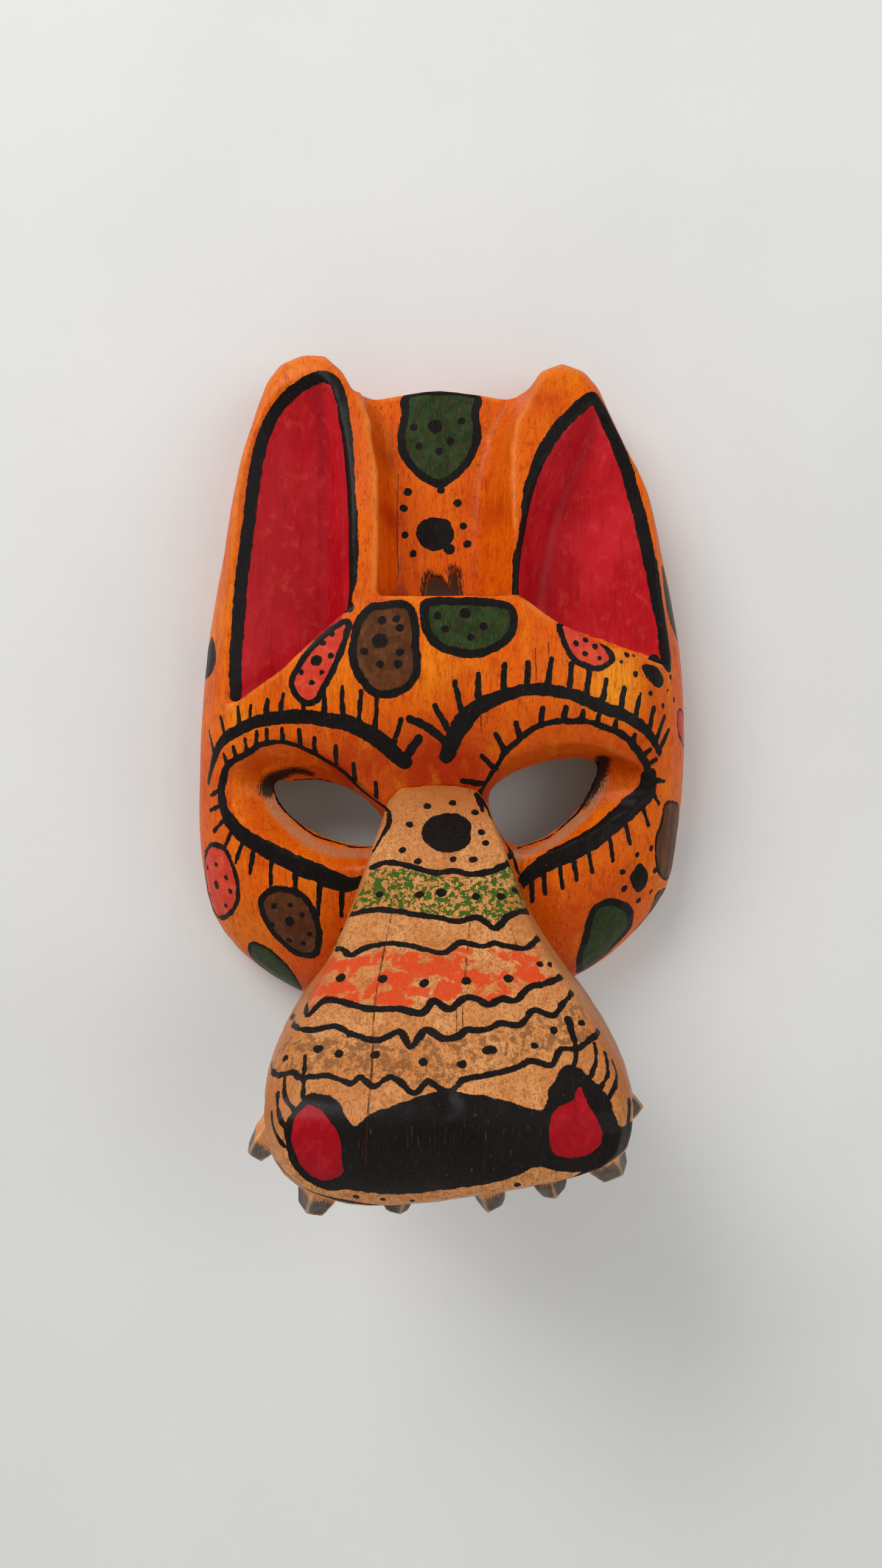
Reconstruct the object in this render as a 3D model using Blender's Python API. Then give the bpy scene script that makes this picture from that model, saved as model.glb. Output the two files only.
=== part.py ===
"""Painted wooden mask of a spotted big cat: a hollow face shell with two ears, a muzzle, teeth and pegs.

Run with: blender --background --python part.py
Metres, +Z up. The mask looks along -Y. The plane Y = 0 holds the back rim, which lies on the wearer's
face or on a wall. The origin is in that plane behind the slot in the forehead, where a nail would hold it.
Design points are (x, z) pairs in millimetres seen from the front, with z counted from the root of the
muzzle between the eyes. Depth is the distance from the back rim forwards.
"""

import math

import bmesh
import bpy
from mathutils import Matrix, Vector

MM = 0.001

# Driving dimensions
HANG_HEIGHT = 74 * MM  # the slot that a nail holds, above the root of the muzzle
RIM_WIDTH = 9 * MM  # flat rim left round the hollowed back
FACE_WALL = 12.5 * MM  # wood left between the carved front and the bowl behind it
RECESS_DEPTH = 7 * MM  # shallow recess behind the forehead and the ears
JOINT_GAP = 0.3 * MM  # glue line between two blocks
EAR_SEAT_DEPTH = 17 * MM  # the flat on the forehead that an ear block is glued to
LEDGE_HEIGHT = 64 * MM  # top of the brow, where the forehead strip starts
SOCKET_DEPTH = 11 * MM  # how far an eye socket slopes in before its hole starts
PEG_RADIUS = 2.2 * MM
TOOTH_ROOT = 5 * MM  # how far a tooth's root is let into the lip
BEYOND = 30 * MM  # how far a cutter runs past what it cuts

# Outlines as seen from the front, in millimetres, clockwise from the top
FACE_CENTRE = (0, 20)
BOWL_CENTRE = (0, -6)
RECESS_CENTRE = (0, 70)
FACE_OUTLINE = [
    (0, 144.5), (28, 141), (35, 149), (45, 153), (55, 148), (62, 134), (69, 119), (77, 103), (87.5, 60),
    (91, 18), (88, -24), (81, -46), (53, -71), (0, -88), (-50, -79), (-81, -57), (-90, -28), (-90, 14),
    (-86, 58), (-76.5, 104), (-69, 132), (-61.5, 150), (-51, 156), (-41, 155), (-34, 147), (-28, 141),
]
MUZZLE_CENTRE = (2, -92)
MUZZLE_OUTLINE = [
    (-1, 1), (13, -1), (19, -14), (29, -41), (41.5, -61), (53, -76), (58.5, -88), (58.5, -98), (55, -107),
    (42, -113), (20, -120), (0, -124.5), (-18, -126), (-34, -124), (-48, -114), (-54, -99), (-54, -87),
    (-49.5, -75), (-39, -61), (-30, -41), (-21, -14), (-16, -1),
]
LEFT_EYE_RIM = [
    (-77, 3), (-63, 14), (-50, 16), (-36, 8), (-22, -5), (-17, -13), (-21, -26), (-36, -30), (-58, -22),
    (-71, -12),
]
LEFT_EYE_HOLE = [
    (-60, 0), (-52, 1), (-42, 1), (-32, -2), (-23, -9), (-20, -15), (-21, -21), (-30, -22), (-46, -17),
    (-56, -9),
]
RIGHT_EYE_RIM = [
    (14, -4), (22, 8), (36, 13), (50, 14), (64, 10), (76, 1), (69, -8), (50, -19), (30, -25), (19, -18),
]
RIGHT_EYE_HOLE = [
    (17, -4), (24, 3), (37, 8), (46, 9), (55, 8), (54, 0), (49, -9), (40, -17), (28, -22), (20, -16),
]
BOWL_OUTLINE = [
    (0, 56), (20, 54), (42, 42), (62, 28), (77, 18), (80, -2), (76, -30), (66, -46), (45, -62), (0, -78),
    (-43, -69), (-66, -53), (-78, -28), (-80, 0), (-76, 9), (-60, 18), (-44, 34), (-24, 51),
]
RECESS_OUTLINE = [
    (0, 128), (26, 125), (44, 133), (56, 124), (66, 100), (74, 64), (78, 20), (60, 0), (0, -10), (-60, 0),
    (-78, 16), (-74, 60), (-66, 100), (-56, 127), (-45, 134), (-26, 125),
]
NOSE_OPENING = [
    (0, -22), (11, -26), (21, -50), (30, -66), (26, -73), (0, -76), (-26, -73), (-30, -66), (-21, -50),
    (-11, -26),
]
SLOT = [
    (-6, 66), (-5.4, 72), (-4.5, 74.7), (-3.4, 75.2), (-2.6, 73.6), (-0.4, 74.1), (1.5, 71.9), (3.2, 69),
    (3.7, 73), (3.6, 76.6), (4.7, 77.2), (5.8, 75.2), (6.3, 70.8), (6.8, 66),
]
SLOT_FRONT = 28  # depth at which the slot has exactly this outline
SLOT_CLIMB = 0.03  # share by which the slot grows taller for each millimetre towards the back

# Ledges: where each ear stands on the brow, from the forehead strip outwards
LEFT_LEDGE = [(-18, 64), (-31, 60.5), (-41, 52), (-54, 39.5), (-70, 29), (-110, 22)]
RIGHT_LEDGE = [(14.5, 64.5), (28, 63.5), (40, 55), (55, 48), (81, 41), (110, 35)]
EAR_REGION_TOP = 172

# Forehead strip: height, foot of its left wall, foot of its right wall, top of each wall, depth of the strip
STRIP_STATIONS = [
    (64, -18, 14.5, -22.5, 26, 26),
    (84, -18, 14.5, -22.5, 26, 26),
    (108, -19, 16, -23.5, 26.5, 24.5),
    (126, -23, 20, -26, 29, 22.5),
    (139, -28, 27, -31, 36, 21),
    (156, -36, 36, -40, 46, 19),
]
# Ear hollows: height, then (x, depth) of the inner edge, of the fold and of the outer edge
LEFT_HOLLOW = [
    (10, -30, 50, -41.5, 23, -76, 36), (60, -30, 49, -41.5, 23, -74, 35), (84, -30.5, 48, -41, 24, -72, 35),
    (104, -31, 45, -41, 25, -68.5, 34), (124, -33, 42, -41.5, 28, -62.5, 33),
    (138, -36, 40, -43, 32, -55, 34),
    (147, -41, 40, -45, 38, -49, 39), (156, -44, 49, -46, 48, -48, 49),
]
RIGHT_HOLLOW = [
    (22, 24, 51, 32, 25, 86, 33), (66, 25, 50, 35, 25, 80, 33), (84, 26, 48, 38.5, 26, 76.5, 33),
    (98, 29, 46, 42, 27, 73, 32), (110, 33, 44, 47, 29, 69.5, 32), (122, 40, 42, 53, 31, 66, 32.5),
    (134, 49, 39, 57, 34, 61.5, 35), (142, 55.5, 39.5, 57.5, 38.5, 59.5, 39), (152, 56, 49, 57, 48, 58, 49),
]

# Teeth: name, (x, depth, z) where it leaves the lip, the same for its tip, width
TEETH = [
    ("tooth_left_4", (-48.5, 78, -91), (-53, 79, -102.5), 9.5),
    ("tooth_left_3", (-48.5, 92, -101.2), (-57, 90, -112.5), 11),
    ("tooth_left_2", (-34.5, 104, -113.5), (-38.5, 104, -125), 12),
    ("tooth_left_1", (-12.5, 107, -116.5), (-13, 106, -124.5), 9),
    ("tooth_right_1", (13.5, 107, -116), (15, 105, -123.8), 9),
    ("tooth_right_2", (31, 104, -112), (33.5, 103, -120.5), 10.5),
    ("tooth_right_3", (46, 97, -105.5), (52.5, 97, -116.5), 15),
    ("tooth_right_4", (51.5, 84, -94.5), (61, 84, -101.5), 11),
]
# Pegs: name, place seen from the front (x, z), depth of its back end, length
PEGS = [
    ("ear_peg_left_upper", (-51, 112), 8, 14.5),
    ("ear_peg_left_lower", (-59, 66), 8, 14.5),
    ("ear_peg_right_upper", (53, 108), 8, 14.5),
    ("ear_peg_right_lower", (61, 70), 8, 14.5),
    ("muzzle_peg_left", (-29.5, -52), 23, 34),
    ("muzzle_peg_right", (28.8, -50), 23, 34),
]

PAINT_ORANGE = (0.72, 0.24, 0.04, 1)
BARE_WOOD = (0.85, 0.52, 0.26, 1)
TOOTH_WOOD = (0.66, 0.36, 0.17, 1)
PEG_WOOD = (0.62, 0.45, 0.27, 1)


def clear_scene():
    for old in list(bpy.data.objects):
        bpy.data.objects.remove(old, do_unlink=True)


def collection(name):
    made = bpy.data.collections.new(name)
    bpy.context.scene.collection.children.link(made)
    return made


def material(name, colour, roughness):
    made = bpy.data.materials.new(name)
    made.use_nodes = True
    shader = made.node_tree.nodes["Principled BSDF"]
    shader.inputs["Base Color"].default_value = colour
    shader.inputs["Roughness"].default_value = roughness
    return made


# ---------------------------------------------------------------- curves and depths


def smooth_step(low, high, value):
    share = min(1.0, max(0.0, (value - low) / (high - low)))
    return share * share * (3 - 2 * share)


def bump(x, z, centre_x, centre_z, spread_x, spread_z):
    """1 at the centre, falling smoothly to 0 a few spreads away. All in millimetres."""
    return math.exp(-(((x - centre_x) / spread_x) ** 2) - ((z - centre_z) / spread_z) ** 2)


def closed_curve(points, count):
    """count points, evenly spaced along a smooth closed curve through the given points."""
    dense = []
    number, fine = len(points), 24
    for i in range(number):
        p0, p1, p2, p3 = (Vector(points[(i + k) % number]) for k in (-1, 0, 1, 2))
        for j in range(fine):
            t = j / fine
            dense.append(
                0.5 * (2 * p1 + (p2 - p0) * t + (2 * p0 - 5 * p1 + 4 * p2 - p3) * t**2
                       + (3 * p1 - p0 - 3 * p2 + p3) * t**3)
            )
    dense.append(dense[0])
    along = [0.0]
    for a, b in zip(dense, dense[1:]):
        along.append(along[-1] + (b - a).length)
    made, at = [], 0
    for k in range(count):
        wanted = along[-1] * k / count
        while along[at + 1] < wanted:
            at += 1
        share = (wanted - along[at]) / (along[at + 1] - along[at])
        made.append(dense[at].lerp(dense[at + 1], share))
    return made


def inset(points, distance):
    """A closed curve moved inwards by a distance, in the same units."""
    number = len(points)
    made = []
    for i in range(number):
        along = (points[(i + 1) % number] - points[i - 1]).normalized()
        made.append(points[i] + Vector((along.y, -along.x)) * distance)
    return made


def face_depth(x, z):
    """How far the carved face stands in front of the back rim, before its edge is rounded. Millimetres."""
    crown = 48 + 5 * bump(x, z, 0, 34, 80, 30)
    lower = smooth_step(30, -90, z)
    depth = crown * (1 - lower) + 31 * lower - 10 * smooth_step(80, 150, z)
    depth -= 5 * bump(x, z, 0, -6, 17, 16)  # the root of the muzzle, between the eyes
    depth -= 4.5 * bump(abs(x), z, 46, -2, 26, 14)  # the eyes lie behind the brow
    depth += 3 * bump(abs(x), z, 52, -44, 22, 16)  # cheeks
    return depth - 9 * (x / 90) ** 2


def bowl_depth(x, z):
    """How far the bowl behind the face is hollowed forwards from the rim. Millimetres."""
    return face_depth(x, z) - FACE_WALL / MM


def muzzle_depth(x, z):
    """Front of the muzzle in millimetres: a slope nearly as deep as it is long, then the rounded nose."""
    slope = 45 + 0.965 * (-1 - z)
    nose = 131 - ((z + 98) / 21) ** 2 * 12
    blend = smooth_step(-78, -98, z)
    depth = slope * (1 - blend) + min(slope, nose) * blend
    half_width = 16 + 36 * smooth_step(10, -100, z)
    return depth - 5 * abs(x / half_width) ** 2.4 * smooth_step(0, -60, z)


def lip_height(depth):
    """Height of the muzzle's lower edge at a depth: it drops from the cheeks to the lip. Millimetres."""
    return -80 - 44 * max(0.0, (depth - 25) / 87) ** 2.6


# ---------------------------------------------------------------- shapes


def point(x, z, depth):
    """A point in metres from front-view millimetres and a depth in millimetres."""
    return Vector((x * MM, -depth * MM, z * MM - HANG_HEIGHT))


def mesh_of(name, rings, close_start, close_end):
    """A closed mesh through rings of points. An end closes with a flat face, or on the point given."""
    bm = bmesh.new()
    rows = [[bm.verts.new(p) for p in ring] for ring in rings]
    number = len(rows[0])
    for a, b in zip(rows, rows[1:]):
        for i in range(number):
            j = (i + 1) % number
            bm.faces.new((a[i], a[j], b[j], b[i]))
    for row, tip in ((rows[0], close_start), (rows[-1], close_end)):
        if tip is None:
            bm.faces.new(row)
            continue
        top = bm.verts.new(tip)
        for i in range(number):
            bm.faces.new((row[i], row[(i + 1) % number], top))
    bmesh.ops.recalc_face_normals(bm, faces=bm.faces)
    if bm.calc_volume(signed=True) < 0:
        bmesh.ops.reverse_faces(bm, faces=bm.faces)
    mesh = bpy.data.meshes.new(name)
    bm.to_mesh(mesh)
    bm.free()
    return mesh


def carved_block(name, outline, centre, depth_at, back, rounding, flat_rings, round_rings):
    """A block with the outline as its sides, a carved front and a flat back.

    outline: points in order, centre: the point the rings shrink to, depth_at: the front's depth at (x, z),
    back: depth of the flat back, rounding: radius of the edge between front and sides at a point.
    """
    middle = Vector(centre)
    rings = []
    for k in range(1, flat_rings + round_rings + 1):
        ring = []
        for edge in outline:
            reach = (edge - middle).length
            radius = min(rounding(edge.x, edge.y), 0.6 * reach)
            if k <= flat_rings:
                share, rise = (1 - radius / reach) * k / flat_rings, 1.0
            else:
                turn = (k - flat_rings) / round_rings * math.pi / 2
                share = 1 - radius / reach * (1 - math.sin(turn) ** 0.8)
                rise = math.cos(turn) ** 0.8 if k < flat_rings + round_rings else 0.0
            x, z = middle.lerp(edge, share)
            ring.append(point(x, z, back + (depth_at(x, z) - back) * rise))
        rings.append(ring)
    return mesh_of(name, rings, point(*middle, depth_at(*middle)), None)


def prism(name, outline, near, far):
    """The outline pushed straight through from one depth to another."""
    return mesh_of(name, [[point(x, z, d) for x, z in outline] for d in (near, far)], None, None)


def slot_section(depth):
    """The hanging slot at a depth. Its roof climbs towards the back, so a nail finds its way in."""
    foot = min(z for _, z in SLOT)
    climb = 1 + SLOT_CLIMB * (SLOT_FRONT - depth)
    return [point(x, foot + (z - foot) * climb, depth) for x, z in SLOT]


def stations_block(name, sections):
    """A closed loft through sections that each hold the same number of points."""
    return mesh_of(name, sections, None, None)


def place(mesh, where, looks=None, hidden=False):
    """Puts a mesh in a collection as an object, as a cutter or as a part."""
    made = bpy.data.objects.new(mesh.name, mesh)
    where.objects.link(made)
    if looks:
        mesh.materials.append(looks)
    if hidden:
        made.hide_render = True
        made.display_type = "WIRE"
    return made


def boolean(target, tool, operation="DIFFERENCE"):
    modifier = target.modifiers.new(operation.lower(), "BOOLEAN")
    modifier.operation = operation
    modifier.solver = "EXACT"
    modifier.object = tool


# ---------------------------------------------------------------- cutters


def forehead_strip_cutter(cutters):
    """Cuts back the forehead between the ears, down to the brow's ledge."""
    sections = []
    for z, left_foot, right_foot, left_top, right_top, depth in STRIP_STATIONS:
        left_lean, right_lean = left_top - left_foot, right_top - right_foot
        fillet = 2.5
        sections.append([
            point(left_foot + 0.6, z, depth + fillet), point(left_foot + fillet, z, depth),
            point(right_foot - fillet, z, depth), point(right_foot + 0.6, z, depth + fillet),
            point(right_top + right_lean, z, 70), point(left_top + left_lean, z, 70),
        ])
    return place(stations_block("forehead_strip_cutter", sections), cutters, hidden=True)


def smooth_rows(rows, step):
    """Rows of numbers, keyed by their first, filled in along a smooth curve at even steps of that key."""
    made = []
    for k in range(len(rows) - 1):
        before, low, high, after = (rows[min(max(k + i, 0), len(rows) - 1)] for i in (-1, 0, 1, 2))
        parts = max(1, round((high[0] - low[0]) / step))
        for j in range(parts):
            t = j / parts
            made.append([
                0.5 * (2 * b + (c - a) * t + (2 * a - 5 * b + 4 * c - d) * t**2
                       + (3 * b - a - 3 * c + d) * t**3)
                for a, b, c, d in zip(before, low, high, after)
            ])
    return made + [list(rows[-1])]


def ear_hollow_cutter(name, stations, cutters):
    """Cuts the hollow of an ear: a steep inner wall and a broad outer one that meet in a soft fold."""
    sections = []
    for z, inner, inner_depth, fold, fold_depth, outer, outer_depth in smooth_rows(stations, 7):
        in_run, in_rise = inner - fold, inner_depth - fold_depth
        out_run, out_rise = outer - fold, outer_depth - fold_depth
        sections.append([
            point(fold + 0.10 * in_run, z, fold_depth + 0.06 * in_rise),
            point(fold + 0.07 * out_run, z, fold_depth + 0.02 * out_rise),
            point(fold + 0.5 * out_run, z, fold_depth + 0.38 * out_rise),
            point(outer, z, outer_depth),
            point(fold + 1.6 * out_run, z, fold_depth + 1.9 * out_rise),
            point(fold + 1.6 * out_run, z, 90),
            point(fold + 1.3 * in_run, z, 90),
            point(fold + 1.3 * in_run, z, fold_depth + 1.5 * in_rise),
            point(inner, z, inner_depth),
            point(fold + 0.5 * in_run, z, fold_depth + 0.42 * in_rise),
        ])
    return place(stations_block(name, sections), cutters, hidden=True)


def ear_region(name, ledge, side, grow, cutters):
    """The space an ear block takes: above its ledge, outside the forehead strip, in front of its seat."""
    foot = 1 if side < 0 else 2
    strip = [Vector((row[foot], row[0])) for row in STRIP_STATIONS if row[0] > LEDGE_HEIGHT / MM]
    strip.append(Vector((strip[-1].x, EAR_REGION_TOP)))
    corner = Vector((side * 110, EAR_REGION_TOP))
    outline = [Vector(p) for p in ledge] + [corner] + strip[::-1]
    if side > 0:
        outline.reverse()
    shrunk = inset(outline, -grow / MM) if grow < 0 else outline
    shrunk[0 if side < 0 else -1] = outline[0 if side < 0 else -1] + Vector((side, 1)) * abs(grow) / MM
    return place(prism(name, shrunk, (EAR_SEAT_DEPTH - min(grow, 0)) / MM, 90), cutters, hidden=True)


def eye_cutter(name, rim, hole, cutters):
    """A funnel from the eye's rim on the face to its smaller hole, and on through the shell."""
    count = 44
    outer, inner = closed_curve(rim, count), closed_curve(hole, count)
    shift = min(
        range(count), key=lambda k: sum((outer[i] - inner[(i + k) % count]).length for i in range(count))
    )
    inner = [inner[(i + shift) % count] for i in range(count)]
    deep = SOCKET_DEPTH / MM
    rings = []
    for share in (-0.5, 0, 0.25, 0.5, 0.75, 0.92, 1):
        ring = []
        for o, i in zip(outer, inner):
            top = edge_depth(o.x, o.y)
            bottom = edge_depth(i.x, i.y) - deep
            fall = share if share < 0 else share**1.2
            ring.append(point(*o.lerp(i, share), top + (bottom - top) * fall))
        rings.append(ring)
    rings.append([point(*i, -5) for i in inner])
    return place(mesh_of(name, rings, None, None), cutters, hidden=True)


def edge_depth(x, z):
    """Depth of the finished face at (x, z), its rounded edge included. Millimetres."""
    middle = Vector(FACE_CENTRE)
    here = Vector((x, z))
    out = here - middle
    best, reach = None, 0
    for edge in FACE_CURVE:
        span = edge - middle
        turn = abs(span.angle_signed(out, 0.0)) if out.length > 1e-6 else 0.0
        if best is None or turn < best:
            best, reach = turn, span.length
    radius = min(face_rounding(x, z), 0.6 * reach)
    gap = (reach - out.length) / radius
    if gap >= 1:
        return face_depth(x, z)
    inward = max(0.0, 1 - gap) ** (1 / 0.8)
    return face_depth(x, z) * math.cos(math.asin(min(1.0, inward))) ** 0.8


def face_rounding(x, z):
    """Radius of the edge between front and sides: broad on the cheeks, tight at the top and the chin."""
    return 10 + 26 * smooth_step(120, 60, z) * smooth_step(30, 70, abs(x))


FACE_CURVE = closed_curve(FACE_OUTLINE, 88)


def peg_mesh(name, where, back, length, radius):
    """A round peg along the depth, from its back end forwards."""
    bm = bmesh.new()
    bmesh.ops.create_cone(
        bm, cap_ends=True, segments=16, radius1=radius, radius2=radius, depth=length * MM,
        matrix=Matrix.Translation(point(*where, back + length / 2)) @ Matrix.Rotation(math.pi / 2, 4, "X"),
    )
    mesh = bpy.data.meshes.new(name)
    bm.to_mesh(mesh)
    bm.free()
    return mesh


def tooth_mesh(name, root, tip, width, grow=0.0):
    """The whittled tooth: its root, let into the lip, then a body that narrows to a flat end."""
    start, end = point(root[0], root[2], root[1]), point(tip[0], tip[2], tip[1])
    along = (end - start).normalized()
    outwards = Vector((start.x, 1.1 * start.y + 95 * MM, 0)).normalized()
    across = along.cross(outwards).normalized()
    facing = across.cross(along)
    length = (end - start).length
    rings = []
    for reach, share in ((-TOOTH_ROOT - grow, 0.78), (0, 1.0), (0.6 * length, 0.9), (length, 0.6)):
        half_width, half_thick = width * share / 2 + grow, 0.74 * width * share / 2 + grow
        corners = ((-1, -1), (0.8, -1.1), (1, 0.9), (-0.9, 1))
        rings.append([
            start + along * reach + across * cx * half_width + facing * cy * half_thick for cx, cy in corners
        ])
    return mesh_of(name, rings, None, None)


def main():
    clear_scene()
    parts, cutters = collection("carved_mask"), collection("cutters")
    orange = material("face_paint", PAINT_ORANGE, 0.5)
    bare = material("bare_wood", BARE_WOOD, 0.55)
    ivory = material("tooth_wood", TOOTH_WOOD, 0.55)
    dowel = material("peg_wood", PEG_WOOD, 0.7)

    # The block that the face and the ears are carved from
    block = carved_block("face_shell", FACE_CURVE, FACE_CENTRE, face_depth, 0, face_rounding, 7, 6)
    bowl = carved_block(
        "bowl_cutter", closed_curve(BOWL_OUTLINE, 48), BOWL_CENTRE, bowl_depth,
        -BEYOND / MM, lambda x, z: 16, 6, 5
    )
    recess = carved_block(
        "recess_cutter", closed_curve(RECESS_OUTLINE, 40), RECESS_CENTRE, lambda x, z: RECESS_DEPTH / MM,
        -BEYOND / MM, lambda x, z: 6, 1, 3
    )
    hollow_cutters = [place(mesh, cutters, hidden=True) for mesh in (bowl, recess)]
    strip = forehead_strip_cutter(cutters)
    hollows = {
        -1: ear_hollow_cutter("left_ear_hollow_cutter", LEFT_HOLLOW, cutters),
        1: ear_hollow_cutter("right_ear_hollow_cutter", RIGHT_HOLLOW, cutters),
    }
    ledges = {-1: LEFT_LEDGE, 1: RIGHT_LEDGE}
    names = {-1: "left", 1: "right"}

    peg_holes = {}
    for name, where, back, length in PEGS:
        place(peg_mesh(name, where, back, length, PEG_RADIUS), parts, dowel)
        reach = length + 8 + JOINT_GAP / MM
        hole = peg_mesh(f"{name}_hole_cutter", where, back - 8, reach, PEG_RADIUS + JOINT_GAP)
        peg_holes[name] = place(hole, cutters, hidden=True)

    shell = place(block.copy(), parts, orange)
    shell.name = "face_shell"
    boolean(shell, strip)
    for hollow in hollow_cutters:
        boolean(shell, hollow)
    for side in (-1, 1):
        region = ear_region(f"{names[side]}_ear_seat_cutter", ledges[side], side, 0, cutters)
        boolean(shell, region)
        ear = place(block.copy(), parts, orange)
        ear.name = f"ear_{names[side]}"
        drilled_region = ear_region(f"{names[side]}_ear_region", ledges[side], side, -JOINT_GAP, cutters)
        for name, hole in peg_holes.items():
            if name.startswith(f"ear_peg_{names[side]}"):
                boolean(drilled_region, hole)
        boolean(ear, drilled_region, "INTERSECT")
        boolean(ear, strip)
        boolean(ear, hollows[side])
    boolean(shell, eye_cutter("left_eye_cutter", LEFT_EYE_RIM, LEFT_EYE_HOLE, cutters))
    boolean(shell, eye_cutter("right_eye_cutter", RIGHT_EYE_RIM, RIGHT_EYE_HOLE, cutters))
    nose_opening = prism("nose_opening_cutter", closed_curve(NOSE_OPENING, 28), -5, 90)
    boolean(shell, place(nose_opening, cutters, hidden=True))
    slot = mesh_of("slot_cutter", [slot_section(d) for d in (-5, 40)], None, None)
    boolean(shell, place(slot, cutters, hidden=True))
    for hole in peg_holes.values():
        boolean(shell, hole)

    # The muzzle stands on the face, open to the nose opening behind it and open below as the mouth
    outline = closed_curve(MUZZLE_OUTLINE, 56)
    muzzle_block = carved_block(
        "muzzle", outline, MUZZLE_CENTRE, muzzle_depth, 20,
        lambda x, z: 3 + 6.5 * smooth_step(-60, -95, z), 7, 4
    )
    muzzle = place(muzzle_block, parts, bare)
    underside = [Vector((lip_height(d), d)) for d in range(0, 150, 6)]
    below = place(
        stations_block("underside_cutter", [
            [point(x, p.x, p.y) for p in underside] + [point(x, -190, 144), point(x, -190, 0)]
            for x in (-90, 90)
        ]), cutters, hidden=True)
    boolean(muzzle, below)
    face_clear = place(block.copy(), cutters, hidden=True)
    face_clear.name = "face_clearance"
    forward_and_down = Matrix.Translation((0, -1.2 * JOINT_GAP, -1.4 * JOINT_GAP))
    a_little_wider = Matrix.Diagonal((1 + JOINT_GAP / (40 * MM), 1, 1, 1))
    face_clear.data.transform(forward_and_down @ a_little_wider)
    boolean(muzzle, face_clear)
    mouth_curve = inset(closed_curve(MUZZLE_OUTLINE, 40), RIM_WIDTH / MM)
    mouth = place(
        carved_block("mouth_cutter", mouth_curve, MUZZLE_CENTRE, lambda x, z: muzzle_depth(x, z) - 11, -5,
                     lambda x, z: 5, 5, 3), cutters, hidden=True)
    boolean(muzzle, mouth)
    for name, hole in peg_holes.items():
        if name.startswith("muzzle"):
            boolean(muzzle, hole)
    for name, root, tip, width in TEETH:
        place(tooth_mesh(name, root, tip, width * MM), parts, ivory)
        mortise = tooth_mesh(f"{name}_mortise_cutter", root, tip, width * MM, JOINT_GAP)
        boolean(muzzle, place(mortise, cutters, hidden=True))


main()
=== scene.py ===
"""Carves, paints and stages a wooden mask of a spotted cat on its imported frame.

Paint places are (x, z) pairs in millimetres seen from the front, with z counted from the root of the muzzle
between the eyes, which lies below the slot that the mask hangs by. Widths are full widths in millimetres.
"""

import math

import bmesh
import bpy
import numpy as np
from bpy.props import FloatProperty, FloatVectorProperty, IntProperty, PointerProperty
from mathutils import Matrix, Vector, noise
from mathutils.bvhtree import BVHTree
from mathutils.kdtree import KDTree


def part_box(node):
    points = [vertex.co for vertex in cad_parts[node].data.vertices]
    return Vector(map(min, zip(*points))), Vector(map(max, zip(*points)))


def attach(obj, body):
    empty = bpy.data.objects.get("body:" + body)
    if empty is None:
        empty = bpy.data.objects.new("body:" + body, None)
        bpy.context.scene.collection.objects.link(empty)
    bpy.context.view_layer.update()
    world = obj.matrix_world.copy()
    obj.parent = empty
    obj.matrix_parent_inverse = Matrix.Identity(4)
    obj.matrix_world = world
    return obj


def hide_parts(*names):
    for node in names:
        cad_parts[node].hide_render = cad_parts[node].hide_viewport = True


bl_info = {
    "name": "Painted Cat Mask",
    "version": (1, 0, 0),
    "blender": (4, 5, 0),
    "location": "View3D > Sidebar > Cat Mask",
    "description": "Carves, paints and stages a wooden mask of a spotted cat on its packed frame",
    "category": "Object",
}

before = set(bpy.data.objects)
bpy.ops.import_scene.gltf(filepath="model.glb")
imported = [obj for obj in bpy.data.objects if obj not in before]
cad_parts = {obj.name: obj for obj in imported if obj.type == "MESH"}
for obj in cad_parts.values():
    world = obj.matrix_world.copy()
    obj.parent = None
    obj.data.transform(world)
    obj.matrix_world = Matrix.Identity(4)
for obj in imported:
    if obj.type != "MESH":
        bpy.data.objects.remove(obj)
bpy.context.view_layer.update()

MM = 0.001
MUZZLE_ROOT = 0.074  # the slot the mask hangs by is this far above the root of the muzzle
CLOSE_UP = 0.00012  # each piece stands this proud of its CAD face, so muzzle and teeth sit without a gap
GLUE_OVERLAP = 1.7  # a glued face is moved this many gap widths, so that it passes the face across from it
JOINT_REACH = 2 * MM  # nearer than this to a second node, a place may lie outside its own node's box
FAR = 9.0  # paint distances in millimetres are not measured past this
DROP = 3.2 * MM  # a stroke breaks where the wood steps back further than this
STROKE_RUN = 14  # a stroke is measured this many steps at a time

HEAD = ("face_shell", "ear_left", "ear_right")  # glued up first, then carved and faired as one surface
SNOUT = ("muzzle",)
GLUE_REACH = 0.0006  # two pieces closer than this are glued there
KEEP_ANGLE = math.radians(32)  # edges sharper than this stay crisp
ROUGH_DOWN = (3, 0.35)  # passes and strength of the first sanding
DRAW_IN, LET_OUT = 0.55, 0.565  # each fairing pass draws the surface in, then lets it out again
BROAD_WAVE = (130, 55)  # knife waves per metre across and along the grain
FINE_WAVE = (420, 120)
FINE_SHARE = 0.28
PAINTED_TIP = 5.5  # length of a tooth's painted end, in millimetres
STAINED_ROOT = 6.0  # length of a tooth that takes the gum's red, in millimetres
TEETH = tuple(f"tooth_{side}_{n}" for side in ("left", "right") for n in (1, 2, 3, 4))
PEGS = (
    "ear_peg_left_upper", "ear_peg_left_lower", "ear_peg_right_upper", "ear_peg_right_lower",
    "muzzle_peg_left", "muzzle_peg_right",
)

# ---------------------------------------------------------------------------------------------------------
# Where the paint goes
# ---------------------------------------------------------------------------------------------------------

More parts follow.
